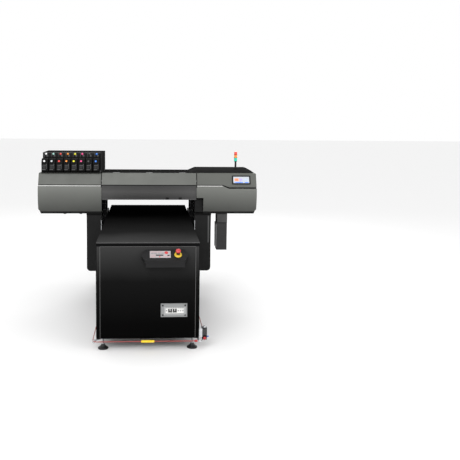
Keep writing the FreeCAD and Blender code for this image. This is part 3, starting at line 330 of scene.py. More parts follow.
INK_COLORS = {
    "ink_white": grey(0.88),
    "ink_grey": (0.60, 0.62, 0.64),
    "ink_aqua": (0.38, 0.68, 0.60),
    "ink_red": (0.78, 0.06, 0.05),
    "ink_orange": (0.86, 0.28, 0.02),
    "ink_yellow": (0.84, 0.80, 0.02),
    "ink_pink": (0.84, 0.06, 0.26),
    "ink_black": grey(0.03),
    "ink_blue": (0.03, 0.20, 0.72),
}
PALETTE = {
    "frame_black": (powder_coat, (0.003, 0.003, 0.0032), 0.5, 0.04),
    # The front panel's paint carries painted shade: near black at the bottom, lighter towards the top.
    "panel_black": (satin_paint_with_painted_shade, [(0, grey(0.0006)),
                                               (0.5, grey(0.005)),
                                               (1, grey(0.042))], 0.2, 0.85, 0.45, 0.03),
    "table_black": (table_coat_with_painted_shade,),
    "cover_grey": (powder_coat, (0.125, 0.13, 0.119), 0.42, 0.3),
    # The lower covers' paint carries painted shade: darker at their foot, lighter towards their top.
    "cover_low": (satin_paint_with_painted_shade, [(0, (0.058, 0.060, 0.055)),
                                           (1, (0.160, 0.165, 0.152))], 0.85, 1.095, 0.42, 0.3),
    "cover_side": (powder_coat, (0.106, 0.110, 0.100), 0.42, 0.3),
    "cover_dark": (powder_coat, grey(0.014), 0.6, 0.0),
    "hood_dark": (moulded, grey(0.022), 0.6, 0.0),
    "leg_dark": (moulded, grey(0.013), 0.55, 0.12),
    "smoked_pane": (smoked_pane,),
    "black_plastic": (moulded, grey(0.008), 0.5, 0.15),
    "seal_black": (moulded, grey(0.004), 0.7, 0.15),
    "trim_light": (glossy, (0.85, 0.85, 0.83), 0.3),
    # A light grey for real edge trim and marks, also used for painted highlights along edges.
    "edge_grey": (powder_coat, grey(0.14), 0.35, 0.4),
    "steel": (brushed, (0.55, 0.55, 0.56), 0.3, (1, 0.02, 1)),
    "alloy": (brushed, (0.5, 0.5, 0.51), 0.38),
    "zinc_steel": (brushed, (0.62, 0.63, 0.65), 0.28, (1, 1, 0.05)),
    "screw_steel": (threaded, (0.5, 0.5, 0.52), 0.01),
    "foot_black": (moulded, (0.008, 0.008, 0.009), 0.38, 0.45),
    "grey_bezel": (powder_coat, (0.23, 0.235, 0.235), 0.4, 0.4),
    "breaker_white": (moulded, (0.82, 0.82, 0.8), 0.4, 0.4),
    "toggle_black": (moulded, (0.012, 0.012, 0.013), 0.4, 0.4),
    "rope_red": (roped, (0.33, 0.035, 0.03)),
    "tag_yellow": (glossy, (0.85, 0.58, 0.01), 0.35),
    "stop_red": (glossy, (0.52, 0.025, 0.03), 0.28),
    "cap_red": (glossy, (0.40, 0.006, 0.010), 0.3),
    "stop_yellow": (glossy, (0.62, 0.42, 0.01), 0.35),
    "keypad": (moulded, (0.42, 0.38, 0.39), 0.4, 0.3, 0.0001),
    "screen_glass": (glossy, (0.01, 0.01, 0.012), 0.12),
    "lens": (lit_lens, (0.1, 0.6, 0.4), 0.2),
    "rack_black": (moulded, grey(0.020), 0.6, 0.0),
    "cassette_black": (moulded, grey(0.006), 0.45, 0.06),
    "box_grey": (moulded, (0.011, 0.011, 0.0115), 0.4, 0.18),
    "bottle": (moulded, grey(0.022), 0.45, 0.35),
    "key_grey": (moulded, (0.30, 0.29, 0.30), 0.45, 0.4, 0.0001),
    "key_rose": (moulded, (0.62, 0.28, 0.30), 0.45, 0.4, 0.0001),
    "key_blue": (glossy, (0.02, 0.12, 0.6), 0.3),
    "bezel_light": (powder_coat, (0.36, 0.365, 0.365), 0.38, 0.4),
    "grip_grey": (moulded, (0.055, 0.055, 0.056), 0.35, 0.5),
    "bottle_light": (moulded, grey(0.22), 0.35, 0.4),
    "drain_light": (moulded, grey(0.05), 0.45, 0.35),
    "lamp_glass": (glossy, (0.08, 0.05, 0.16), 0.1),
    "lens_green": (lit_lens, (0.01, 0.42, 0.30), 0.55),
    "lens_orange": (lit_lens, (0.85, 0.28, 0.04), 0.25),
    "lens_red": (lit_lens, (0.70, 0.05, 0.03), 0.25),
    "lcd_white": (lit_panel, (0.52, 0.55, 0.60), 0.08),
    "lcd_orange": (lit_panel, (0.90, 0.25, 0.12), 0.25),
    "lcd_violet": (lit_panel, (0.42, 0.36, 0.60), 0.25),
    "lcd_blue": (lit_panel, (0.08, 0.22, 0.72), 0.25),
    "lcd_pale": (lit_panel, (0.48, 0.55, 0.66), 0.1),
    **{name: (glossy, color, 0.3) for name, color in INK_COLORS.items()},
}
PAINT = {name: kind(name, *settings) for name, (kind, *settings) in PALETTE.items()}
NODE_PAINT = {"left_lower_cover": "cover_low", "right_lower_cover": "cover_low", "leg_covers": "leg_dark",
              "left_upper_cover": "cover_side", "right_upper_cover": "cover_side",
              "y_screw": "screw_steel", "control_box": "box_grey", "ink_rack": "rack_black",
              "rope_fittings": "zinc_steel"}


def paint_nodes():
    """Give every CAD node its material, and soften its edges."""
    slots = {part["node"]: part["material_slot"] for part in frame["record"]["subparts"]}
    for name, thing in NODES.items():
        material = PAINT[NODE_PAINT.get(name, slots[name])]
        thing.data.materials.clear()
        thing.data.materials.append(material)
        bevel = thing.modifiers.new("edges", "BEVEL")
        bevel.width = EDGE_WIDTH.get(name, 0.0012)
        bevel.segments = 2
        bevel.limit_method = "ANGLE"
        bevel.angle_limit = math.radians(40)


EDGE_WIDTH = {"base_frame": 0.002, "leg_covers": 0.004, "maintenance_box": 0.005, "right_hood": 0.003,
              "middle_cover": 0.001, "breaker_block": 0.0003, "breaker_toggle_left": 0.0008,
              "breaker_toggle_right": 0.0008, "control_keypad": 0.0008, "ink_rack": 0.0015,
              "drain_bottle": 0.006, "drain_holder": 0.0015, "control_box": 0.003, "rope_switch": 0.003}


# ---- mesh helpers

def finish_piece(name, built, paint, body, smooth=40):
    """Turn a bmesh into a piece that rides on a body, shaded smooth below an angle."""
    mesh = bpy.data.meshes.new(name)
    bmesh.ops.recalc_face_normals(built, faces=built.faces)
    built.to_mesh(mesh)
    built.free()
    piece = bpy.data.objects.new(name, mesh)
    bpy.context.scene.collection.objects.link(piece)
    mesh.materials.append(PAINT[paint])
    mesh.shade_smooth()
    mesh.set_sharp_from_angle(angle=math.radians(smooth))
    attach(piece, body)
    return piece


def add_block(built, low, high, bevel=0.0008, matrix=None):
    """Add a block with rounded edges to a bmesh."""
    low, high = Vector(low), Vector(high)
    before = set(built.verts)
    made = bmesh.ops.create_cube(built, size=1)
    scale = Matrix.Diagonal((*(high - low), 1))
    bmesh.ops.transform(built, matrix=Matrix.Translation((low + high) / 2) @ scale, verts=made["verts"])
    edges = list({edge for vert in made["verts"] for edge in vert.link_edges})
    bmesh.ops.bevel(built, geom=edges, offset=bevel, segments=2, profile=0.5, affect="EDGES")
    if matrix is not None:
        fresh = [vert for vert in built.verts if vert not in before]
        bmesh.ops.transform(built, matrix=matrix, verts=fresh)


def add_lathe(built, outline, matrix=None, steps=32):
    """Spin an outline of (radius, height) points about Z, then place it."""
    matrix = matrix or Matrix()
    rings = []
    for radius, height in outline:
        if radius < 1e-6:
            rings.append([built.verts.new(matrix @ Vector((0, 0, height)))])
            continue
        ring = []
        for k in range(steps):
            turn = 2 * math.pi * k / steps
            place = Vector((radius * math.cos(turn), radius * math.sin(turn), height))
            ring.append(built.verts.new(matrix @ place))
        rings.append(ring)
    for low, high in zip(rings, rings[1:]):
        for k in range(steps):
            after = (k + 1) % steps
            corners = [low[k % len(low)], low[after % len(low)],
                       high[after % len(high)], high[k % len(high)]]
            corners = list(dict.fromkeys(corners))
            if len(corners) > 2:
                built.faces.new(corners)


def facing(place, direction, roll=0.0):
    """A matrix that puts local Z along a direction at a place."""
    turn = Vector(direction).to_track_quat("Z", "Y").to_matrix().to_4x4()
    return Matrix.Translation(place) @ turn @ Matrix.Rotation(roll, 4, "Z")


def screw_outline(radius):
    """A domed screw head, seen from its seat up to its recessed middle."""
    profile = ((1, 0), (1, 0.25), (0.85, 0.5), (0.5, 0.62), (0.42, 0.6), (0.4, 0.25), (0, 0.25))
    return [(radius * across, radius * up) for across, up in profile]


def add_screws(name, places, direction, radius, body, paint="zinc_steel"):
    """Round screw heads with a hexagonal recess."""
    built = bmesh.new()
    for place in places:
        add_lathe(built, screw_outline(radius), facing(place, direction), 18)
    return finish_piece(name, built, paint, body)


def add_sheet(built, outline, near, far):
    """Add a plate with a front-view outline [(x, z)] running from one Y to another."""
    front = [built.verts.new((x, near, z)) for x, z in outline]
    back = [built.verts.new((x, far, z)) for x, z in outline]
    built.faces.new(front)
    built.faces.new(back)
    for k in range(len(outline)):
        after = (k + 1) % len(outline)
        built.faces.new([front[k], front[after], back[after], back[k]])


def add_ribbon(built, path, near, left, right, thick):
    """Add a strip that follows a side-view path [(y from near, z)], from one X to another."""
    rows = []
    for shift in (0, thick):
        for x in (left, right):
            rows.append([built.verts.new((x, near + y + shift, z - shift * 0.3)) for y, z in path])
    a, b, c, d = rows
    for first, second in ((a, b), (b, d), (d, c), (c, a)):
        for k in range(len(path) - 1):
            built.faces.new([first[k], second[k], second[k + 1], first[k + 1]])
    for k in (0, -1):
        built.faces.new([a[k], b[k], d[k], c[k]])


def add_blocks(name, boxes, paint, body, bevel=0.0008, matrix=None):
    built = bmesh.new()
    for low, high in boxes:
        add_block(built, low, high, bevel, matrix)
    return finish_piece(name, built, paint, body)


def border_boxes(low, high, side, rail, near, far):
    """Four bars round the rectangle between two (x, z) corners: left, right, top and bottom."""
    inner_left, inner_right = low[0] + side, high[0] - side
    return [((low[0], near, low[1]), (inner_left, far, high[1])),
            ((inner_right, near, low[1]), (high[0], far, high[1])),
            ((inner_left, near, high[1] - rail), (inner_right, far, high[1])),
            ((inner_left, near, low[1]), (inner_right, far, low[1] + rail))]


def stacked(low, high, pitch, count):
    """Corners of a box and its copies, each one pitch higher than the last."""
    return [((*low[:2], low[2] + pitch * k), (*high[:2], high[2] + pitch * k)) for k in range(count)]


def add_lathes(name, outline, matrices, paint, body, steps=32):
    built = bmesh.new()
    for matrix in matrices:
        add_lathe(built, outline, matrix, steps)
    return finish_piece(name, built, paint, body)


def replace_lathe(node, name, outline, place, paint, body, steps=32):
    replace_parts(add_lathes(name, outline, [place], paint, body, steps), node)


# ---- vacuum table

HOLE_PITCH = 0.025
HOLE_RADIUS = 0.0016
HOLE_DEPTH = 0.006


def make_table():
    """The table's plate, with its grid of vacuum holes cut into the top."""
    low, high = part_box("table_top")
    margin = 0.035
    bevel = 0.002
    across = round((high.x - low.x - 2 * margin) / HOLE_PITCH)
    along = round((high.y - low.y - 2 * margin) / HOLE_PITCH)
    xs = [low.x + margin + k * (high.x - low.x - 2 * margin) / across for k in range(across + 1)]
    ys = [low.y + margin + k * (high.y - low.y - 2 * margin) / along for k in range(along + 1)]
    bore = ((HOLE_RADIUS + 0.0006, 0), (HOLE_RADIUS, 0.0006), (HOLE_RADIUS, HOLE_DEPTH))
    turns = [math.pi / 4 * (k + 1) for k in range(8)]
    built = bmesh.new()
    grid = [[built.verts.new((x, y, high.z)) for y in ys] for x in xs]
    mid_x = [[built.verts.new(((a + b) / 2, y, high.z)) for y in ys] for a, b in zip(xs, xs[1:])]
    mid_y = [[built.verts.new((x, (a + b) / 2, high.z)) for a, b in zip(ys, ys[1:])] for x in xs]
    for i in range(across):
        for j in range(along):
            rim = [grid[i + 1][j + 1], mid_x[i][j + 1], grid[i][j + 1], mid_y[i][j], grid[i][j],
                   mid_x[i][j], grid[i + 1][j], mid_y[i + 1][j]]
            centre = Vector(((xs[i] + xs[i + 1]) / 2, (ys[j] + ys[j + 1]) / 2, high.z))
            rings = []
            for radius, drop in bore:
                rings.append([built.verts.new(centre + Vector((radius * math.cos(turn),
                                                               radius * math.sin(turn), -drop)))
                              for turn in turns])
            for outer, inner in zip([rim] + rings, rings):
                for k in range(8):
                    built.faces.new([outer[k], outer[(k + 1) % 8], inner[(k + 1) % 8], inner[k]])
            built.faces.new(rings[-1])
    border = []
    for i in range(across):
        border += [grid[i][0], mid_x[i][0]]
    border.append(grid[across][0])
    for j in range(along):
        border += [mid_y[across][j], grid[across][j + 1]]
    for i in reversed(range(across)):
        border += [mid_x[i][along], grid[i][along]]
    for j in reversed(range(along)):
        border += [mid_y[0][j], grid[0][j]]
    border.pop()
    loops = [border]
    for inset, drop in ((bevel, 0), (bevel * 0.3, bevel * 0.3), (0, bevel), (0, high.z - low.z)):
        loops.append([built.verts.new(border_point(vert.co, xs, ys, low, high, inset, high.z - drop))
                      for vert in border])
    for outer, inner in zip(loops, loops[1:]):
        for k in range(len(border)):
            after = (k + 1) % len(border)
            built.faces.new([outer[k], outer[after], inner[after], inner[k]])
    built.faces.new(loops[-1])
    piece = finish_piece("table_plate", built, "table_black", "base", smooth=30)
    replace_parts(piece, "table_top")


def make_table_edge():
    """Painted highlight along the plate's upper front edge, over a dark band."""
    low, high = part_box("table_top")
    line = ((low.x + 0.002, low.y - 0.0008, high.z - 0.0026),
            (high.x - 0.002, low.y + 0.0002, high.z - 0.0004))
    band = ((low.x + 0.0005, low.y - 0.0006, low.z + 0.0005),
            (high.x - 0.0005, low.y + 0.0002, high.z - 0.0030))
    add_blocks("table_front_highlight", [line], "edge_grey", "base", 0.0003)
    add_blocks("table_front_band", [band], "frame_black", "base", 0.0003)


def border_point(point, xs, ys, low, high, inset, z):
    """Where a point on the hole field's border lands on the plate's edge."""
    placed = []
    for value, field, near, far in ((point.x, xs, low.x, high.x), (point.y, ys, low.y, high.y)):
        if value <= field[0] + 1e-6:
            value = near + inset
        elif value >= field[-1] - 1e-6:
            value = far - inset
        placed.append(value)
    return Vector((*placed, z))


# ---- cabinet

def make_feet():
    """Levelling feet: ribbed domed pad, threaded stem, nut and washer."""
    low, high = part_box("levelling_feet")
    pad_r = 0.040
    stem_r = 0.008
    thread_pitch = 0.0021
    pads = bmesh.new()
    stems = bmesh.new()
    nuts = bmesh.new()
    for x in (low.x + pad_r, high.x - pad_r):
        for y in (low.y + pad_r, high.y - pad_r):
            place = Matrix.Translation((x, y, 0))
            dome = [(0, 0), (pad_r - 0.003, 0), (pad_r, 0.002), (pad_r, 0.007), (pad_r - 0.002, 0.0095),
                    (pad_r - 0.006, 0.012)]
            dome += [(0.034 - 0.0185 * t - 0.003 * math.sin(math.pi * t), 0.012 + 0.017 * t) for t in
                     (0.15, 0.3, 0.45, 0.6, 0.75, 0.9)]
            dome += [(0.0145, 0.0295), (0.0135, 0.0345), (0.0115, 0.0355), (0, 0.0355)]
            add_lathe(pads, dome, place, 40)
            thread = [(0, 0.035)]
            for k in range(24):
                z = 0.0358 + k * thread_pitch
                thread += [(stem_r, z), (stem_r - 0.001, z + thread_pitch / 2)]
            thread += [(stem_r, high.z - 0.0005), (0, high.z - 0.0005)]
            add_lathe(stems, thread, place, 20)
            hexagon = [(0, high.z - 0.0135), (0.0125, high.z - 0.0135), (0.0145, high.z - 0.012),
                       (0.0145, high.z - 0.003), (0.0135, high.z - 0.002), (0, high.z - 0.002)]
            add_lathe(nuts, hexagon, place, 6)
            washer = [(0, high.z - 0.002), (0.018, high.z - 0.002), (0.018, high.z), (0, high.z)]
            add_lathe(nuts, washer, place, 28)
    pad = finish_piece("foot_pads", pads, "foot_black", "base")
    stem = finish_piece("foot_stems", stems, "zinc_steel", "base", smooth=80)
    finish_piece("foot_nuts", nuts, "zinc_steel", "base", smooth=25)
    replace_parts(pad, "levelling_feet")
    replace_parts(stem, "levelling_feet")


def make_cabinet_trim():
    """Painted highlights as light strips along the front panel's edges, and doors, hinges, locks and
    louvres on the sides and back.
    """
    low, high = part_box("front_panel")
    face = low.y
    # Light grey strips down the panel's sides and along its top: painted highlights on its edges.
    strips = []
    for x in (low.x, high.x - 0.0022):
        strips.append(((x, face - 0.0012, low.z), (x + 0.0022, face, high.z)))
    strips.append(((low.x, face - 0.0012, high.z - 0.0018), (high.x, face, high.z)))
    add_blocks("front_panel_edge_highlights", strips, "edge_grey", "base", 0.0004)
    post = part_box("base_frame")
    seal = [((post[0].x + 0.003, face - 0.0006, low.z), (low.x - 0.001, face + 0.0002, high.z)),
            ((high.x + 0.001, face - 0.0006, low.z), (post[1].x - 0.003, face + 0.0002, high.z))]
    add_blocks("front_post_faces", seal, "panel_black", "base", 0.0003)

    side_low, side_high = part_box("side_panels")
    thirds = [side_low.y + (side_high.y - side_low.y) * k / 3 for k in range(4)]
    doors, locks, hinges, louvres = [], [], [], []
    for side in SIDES:
        skin = side_high.x if side > 0 else side_low.x
        for near, far in zip(thirds, thirds[1:]):
            spread = sorted((skin, skin + side * 0.0015))
            doors.append(((spread[0], near + 0.006, side_low.z + 0.01),
                          (spread[1], far - 0.006, side_high.z - 0.01)))
            for z in (side_low.z + 0.09, side_high.z - 0.09):
                locks.append((Vector((skin + side * 0.0015, far - 0.035, z)), (side, 0, 0)))
                hinges.append(((spread[0], near + 0.004, z - 0.03),
                               (spread[0] + 0.0022, near + 0.012, z + 0.03)))
        near, far = thirds[2] + 0.2, thirds[3] - 0.2
        inner, outer = sorted((skin + side * 0.001, skin + side * 0.0035))
        lowest = side_low.z + 0.1
        louvres += stacked((inner, near, lowest), (outer, far, lowest + 0.009), 0.018, 9)
    add_blocks("side_doors", doors, "panel_black", "base", 0.0006)
    add_blocks("side_louvres", louvres, "frame_black", "base", 0.0008)
    add_blocks("side_hinges", hinges, "frame_black", "base", 0.0005)
    lock = [(0.011, 0), (0.011, 0.0008), (0.0095, 0.0014), (0.004, 0.0014), (0.0035, 0.0004), (0, 0.0004)]
    add_lathes("side_locks", lock, [facing(place, direction) for place, direction in locks],
               "zinc_steel", "base", 24)

    rear_low, rear_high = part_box("rear_panel")
    places = [(x, rear_high.y, z) for x in (rear_low.x + 0.02, 0, rear_high.x - 0.02)
              for z in (rear_low.z + 0.02, (rear_low.z + rear_high.z) / 2, rear_high.z - 0.02)]
    places = [p for p in places if abs(p[0]) > 0.1 or abs(p[2] - 0.52) > 0.15]
    add_screws("rear_screws", places, (0, 1, 0), 0.006, "base")
    fins = stacked((-0.062, rear_high.y, 0.489), (0.062, rear_high.y + 0.004, 0.491), 0.024, 8)
    add_blocks("rear_louvres", fins, "panel_black", "base", 0.0006)
    inlet_low, inlet_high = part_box("power_inlet")
    add_screws("inlet_screws", [(inlet_low.x + 0.006, inlet_high.y, (inlet_low.z + inlet_high.z) / 2),
                                (inlet_high.x - 0.006, inlet_high.y, (inlet_low.z + inlet_high.z) / 2)],
               (0, 1, 0), 0.003, "base")


# ---- controls

SLOPE = math.radians(35)
SLOPE_TOP = Vector((0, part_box("front_panel")[0].y, 0.768))
ON_SLOPE = Matrix.Translation(SLOPE_TOP) @ Matrix.Rotation(SLOPE, 4, "X")
STOP_AT = (0.221, -0.054)


def make_controls():
    """Key panel overlay, emergency stop and screws on the sloping control box."""
    top = 0.0025
    keys = [((0.022 + 0.025 * k, -0.046, top), (0.041 + 0.025 * k, -0.034, top + 0.0012))
            for k in range(4)]
    add_blocks("keypad_keys", keys, "key_grey", "base", 0.0005, ON_SLOPE)
    displays = [((0.058, -0.064, top), (0.112, -0.053, top + 0.001)),
                ((0.142, -0.066, top), (0.158, -0.055, top + 0.001))]
    add_blocks("keypad_display", displays, "screen_glass", "base", 0.0004, ON_SLOPE)
    lines = [((0.020, -0.028, top), (0.100, -0.0255, top + 0.0005)),
             ((0.020, -0.074, top), (0.054, -0.0715, top + 0.0005)),
             ((0.114, -0.074, top), (0.158, -0.0715, top + 0.0005)),
             ((0.020, -0.058, top), (0.052, -0.0555, top + 0.0005))]
    add_blocks("keypad_lines", lines, "key_rose", "base", 0.0002, ON_SLOPE)
    built = bmesh.new()
    dome = [(0.013, 0), (0.013, 0.0015), (0.011, 0.003), (0.006, 0.0036), (0, 0.0038)]
    add_lathe(built, dome, ON_SLOPE @ Matrix.Translation((0.134, -0.034, top)), 32)
    add_lathe(built, [(0.007, 0), (0.007, 0.001), (0.005, 0.0018), (0, 0.002)],
              ON_SLOPE @ Matrix.Translation((0.085, -0.073, top)), 3)
    finish_piece("keypad_stop_key", built, "stop_red", "base")

    place = ON_SLOPE @ Matrix.Translation((*STOP_AT, 0))
    collar = [(0.0127, 0), (0.0272, 0), (0.0280, 0.001), (0.0280, 0.004), (0.0272, 0.0052),
              (0.0258, 0.0055), (0.0248, 0.0060), (0.0212, 0.0100), (0.0200, 0.0110), (0.0150, 0.0110),
              (0.0127, 0.0105), (0.0127, 0)]
    replace_lathe("estop_collar", "stop_collar", collar, place, "stop_yellow", "base", 48)
    mushroom = [(0.0110, 0.0300), (0.0130, 0.0345), (0.0165, 0.0362), (0.0184, 0.0374), (0.0190, 0.0395),
                (0.0190, 0.0430), (0.0184, 0.0460), (0.0170, 0.0485), (0.0142, 0.0508), (0.0104, 0.0521),
                (0.0058, 0.0528), (0, 0.0530)]
    stem = [(0, -0.012), (0.0124, -0.012), (0.0124, 0.0230), (0.0105, 0.0280), (0.0112, 0.0302),
            (0, 0.0302)]
    replace_lathe("estop_button", "stop_mushroom", mushroom, place, "stop_red", "stop_button", 48)
    replace_lathe("estop_button", "stop_stem", stem, place, "foot_black", "stop_button")

    corners = ((-0.030, -0.054), (0.276, -0.054), (-0.006, -0.010), (0.260, -0.010), (-0.014, -0.100),
               (0.262, -0.100))
    places = [ON_SLOPE @ Vector((x, y, 0)) for x, y in corners]
    upright = ON_SLOPE.to_3x3() @ Vector((0, 0, 1))
    add_screws("control_screws", places, upright, 0.0032, "base", "foot_black")


MODULES = 8
WINDOW_LOW = 0.280
WINDOW_HIGH = 0.329


def make_breakers():
    """Frame of the breaker window: raised lip, corner screws and the breakers' own windows."""
    low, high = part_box("breaker_bezel")
    block_low, block_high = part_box("breaker_block")
    face = low.y
    side, rail, rim, gap = 0.011, 0.006, 0.004, 0.0005
    lip = border_boxes((block_low.x - gap - side, WINDOW_LOW - rail),
                       (block_high.x + gap + side, WINDOW_HIGH + rail), side, rail, face - 0.003, face)
    add_blocks("breaker_lip", lip, "bezel_light", "base", 0.0008)
    edge = border_boxes((low.x, low.z), (high.x, high.z), rim, rim, face - 0.002, face)
    add_blocks("breaker_rim", edge, "grey_bezel", "base", 0.0008)
    places = [(x, face, z) for x in (low.x + 0.015, high.x - 0.015)
              for z in (low.z + 0.014, high.z - 0.014)]
    add_screws("breaker_screws", places, (0, -1, 0), 0.0065, "base", "foot_black")
    pitch = (block_high.x - block_low.x) / MODULES
    front = block_low.y
    windows = []
    terminals = []
    for k in range(MODULES):
        x = block_low.x + pitch * (k + 0.5)
        terminals.append(((x - 0.0065, front - 0.0004, 0.3235), (x + 0.0065, front + 0.0002, 0.3262)))
        if not 1 <= k <= 4:
            windows.append(((x - 0.0045, front - 0.0005, 0.2995), (x + 0.0045, front + 0.0002, 0.3095)))
    add_blocks("breaker_marks", terminals, "edge_grey", "base", 0.0001)
    add_blocks("breaker_blanks", windows, "key_grey", "base", 0.0002)


# ---- safety rope

def make_rope_details():
    """Crimps and bands on the rope's sleeve, and the switch's cap, cable nut and screws."""
    low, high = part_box("rope_tag")
    centre = Vector((0, (low.y + high.y) / 2, (low.z + high.z) / 2))
    radius = (high.z - low.z) / 2
    half = (high.x - low.x) / 2
    along = facing(centre - Vector((half, 0, 0)), (1, 0, 0))
    half_sleeve = [(0.0034, 0.0), (radius - 0.0025, 0.0), (radius - 0.0005, 0.0015), (radius, 0.004),
                   (radius, 0.012), (radius - 0.0007, 0.0135), (radius, 0.015)]
    sleeve = half_sleeve + [(across, 2 * half - up) for across, up in reversed(half_sleeve)]
    sleeve.append(half_sleeve[0])
    replace_lathe("rope_tag", "rope_sleeve", sleeve, along, "tag_yellow", "base", 40)

    low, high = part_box("rope_end_cap")
    centre = Vector((low.x, (low.y + high.y) / 2, (low.z + high.z) / 2))
    length = high.x - low.x
    radius = (high.z - low.z) / 2
    bullet = [(0.0034, 0), (0.0055, 0), (0.0068, 0.002), (radius, 0.007), (radius, length - 0.004),
              (radius - 0.001, length - 0.001), (radius - 0.003, length), (0, length)]
    replace_lathe("rope_end_cap", "rope_bullet", bullet, facing(centre, (1, 0, 0)), "cap_red", "base")

    low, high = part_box("rope_switch")
    front = low.y
    middle = (low.x + high.x) / 2
    add_screws("switch_screws", [(middle - 0.011, front, 0.152), (middle + 0.011, front, 0.152),
                                 (middle - 0.011, front, 0.108), (middle + 0.011, front, 0.108)],
               (0, -1, 0), 0.0026, "base")
    add_blocks("switch_lid", [((low.x + 0.003, front - 0.0015, 0.102), (high.x - 0.003, front, 0.157))],
               "foot_black", "base", 0.0012)
    ribs = stacked((low.x + 0.006, front - 0.0022, 0.110), (high.x - 0.006, front - 0.0012, 0.113),
                   0.006, 7)
    add_blocks("switch_ribs", ribs, "grip_grey", "base", 0.0004)
    cap = [(0.0155, 0), (0.0155, 0.003), (0.013, 0.0045), (0.012, 0.009), (0.0085, 0.011), (0, 0.0113)]
    add_lathes("switch_cap_ring", cap, [Matrix.Translation((middle, front + 0.020, 0.160))],
               "zinc_steel", "base", 28)
    low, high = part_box("rope_switch_knob")
    centre = Vector(((low.x + high.x) / 2, low.y, (low.z + high.z) / 2))
    knob = [(0, 0), (0.006, 0.0002), (0.0095, 0.0012), (0.0115, 0.0035), (0.012, 0.006), (0.0115, 0.009),
            (0.0095, 0.0105), (0.005, 0.011), (0.005, high.y - low.y), (0, high.y - low.y)]
    replace_lathe("rope_switch_knob", "reset_head", knob, facing(centre, (0, 1, 0)), "cap_red",
                  "reset_knob")
    key = [(0, 0), (0.0045, 0), (0.005, 0.001), (0.005, 0.012), (0.003, 0.015), (0, 0.0155)]
    add_lathes("switch_key", key, [facing(Vector((0.447, front + 0.016, 0.090)), (1, 0, 0))],
               "key_blue", "base", 20)


# ---- gantry

RAIL_SIDE = 0.358
RAIL_HEIGHT = 0.760
RAIL_END = 0.05
RAIL_BOLTS = 24
PLATE_SIDE = 0.401
LOWER_CAP_SIDE = 1.025
UPPER_CAP_SIDE = 1.022
HINGES = (-0.330, -0.020, 0.290)
HINGE_WIDTH = 0.060
GRIPS = (0.178, 0.300)


def make_gantry_details():
    """Bolts on the rails and legs, bumps on the covers, painted highlights on the leg covers' front edges
    and dark bands of painted shadow at their tops.
    """
    rail_low, rail_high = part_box("y_rails")
    length = rail_high.y - rail_low.y - 2 * RAIL_END
    seats = [facing((side * RAIL_SIDE, rail_low.y + RAIL_END + k * length / (RAIL_BOLTS - 1), RAIL_HEIGHT),
                    (side, 0, 0)) for side in SIDES for k in range(RAIL_BOLTS)]
    bolt = [(0.0048, 0), (0.0048, 0.0003), (0.0025, 0.0003), (0.0025, 0.0001), (0, 0.0001)]
    add_lathes("rail_bolts", bolt, seats, "seal_black", "base", 14)

    low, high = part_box("y_carriage_plates")
    spots = (low.y + 0.03, low.y + 0.09, high.y - 0.09, high.y - 0.03)
    seats = [facing((side * PLATE_SIDE, y, z), (side, 0, 0)) for side in SIDES for y in spots
             for z in (0.750, 0.770)]
    add_lathes("leg_plate_bolts", screw_outline(0.0055), seats, "foot_black", "y_carriage", 16)

    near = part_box("lift_brackets")[0].y
    seats = [facing((side * x, near, z), (0, -1, 0)) for side in SIDES
             for z in (0.800, 0.860, 0.920, 0.952) for x in (0.409, 0.422)]
    add_lathes("lift_bracket_bolts", screw_outline(0.0042), seats, "foot_black", "print_unit", 14)
    leg_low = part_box("leg_covers")[0]
    # Light metal strips down the leg covers' inner front edges: painted highlights.
    strips = [((side * 0.4425 - 0.0022, leg_low.y - 0.0012, 0.655),
               (side * 0.4425 + 0.0022, leg_low.y, 0.765)) for side in SIDES]
    add_blocks("leg_edge_highlights", strips, "zinc_steel", "print_unit", 0.0004)
    # Black bands at the tops of the leg covers stand in for shadow: painted shade.
    shadow_bands = [((-0.582, leg_low.y - 0.0015, 0.815), (-0.438, leg_low.y + 0.001, 0.8355)),
               ((0.438, leg_low.y - 0.0015, 0.815), (0.599, leg_low.y + 0.001, 0.8355))]
    add_blocks("leg_top_shadow_bands", shadow_bands, "seal_black", "print_unit", 0.0008)
    boss_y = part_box("left_lower_cover")[0].y + 0.070
    bosses = [Matrix.Translation((x, boss_y, 0.826)) for x in (-0.783, -0.635)]
    boss = [(0, 0), (0.009, 0.0005), (0.013, 0.004), (0.013, 0.0105), (0, 0.0105)]
    add_lathes("pan_bosses", boss, bosses, "black_plastic", "print_unit", 32)


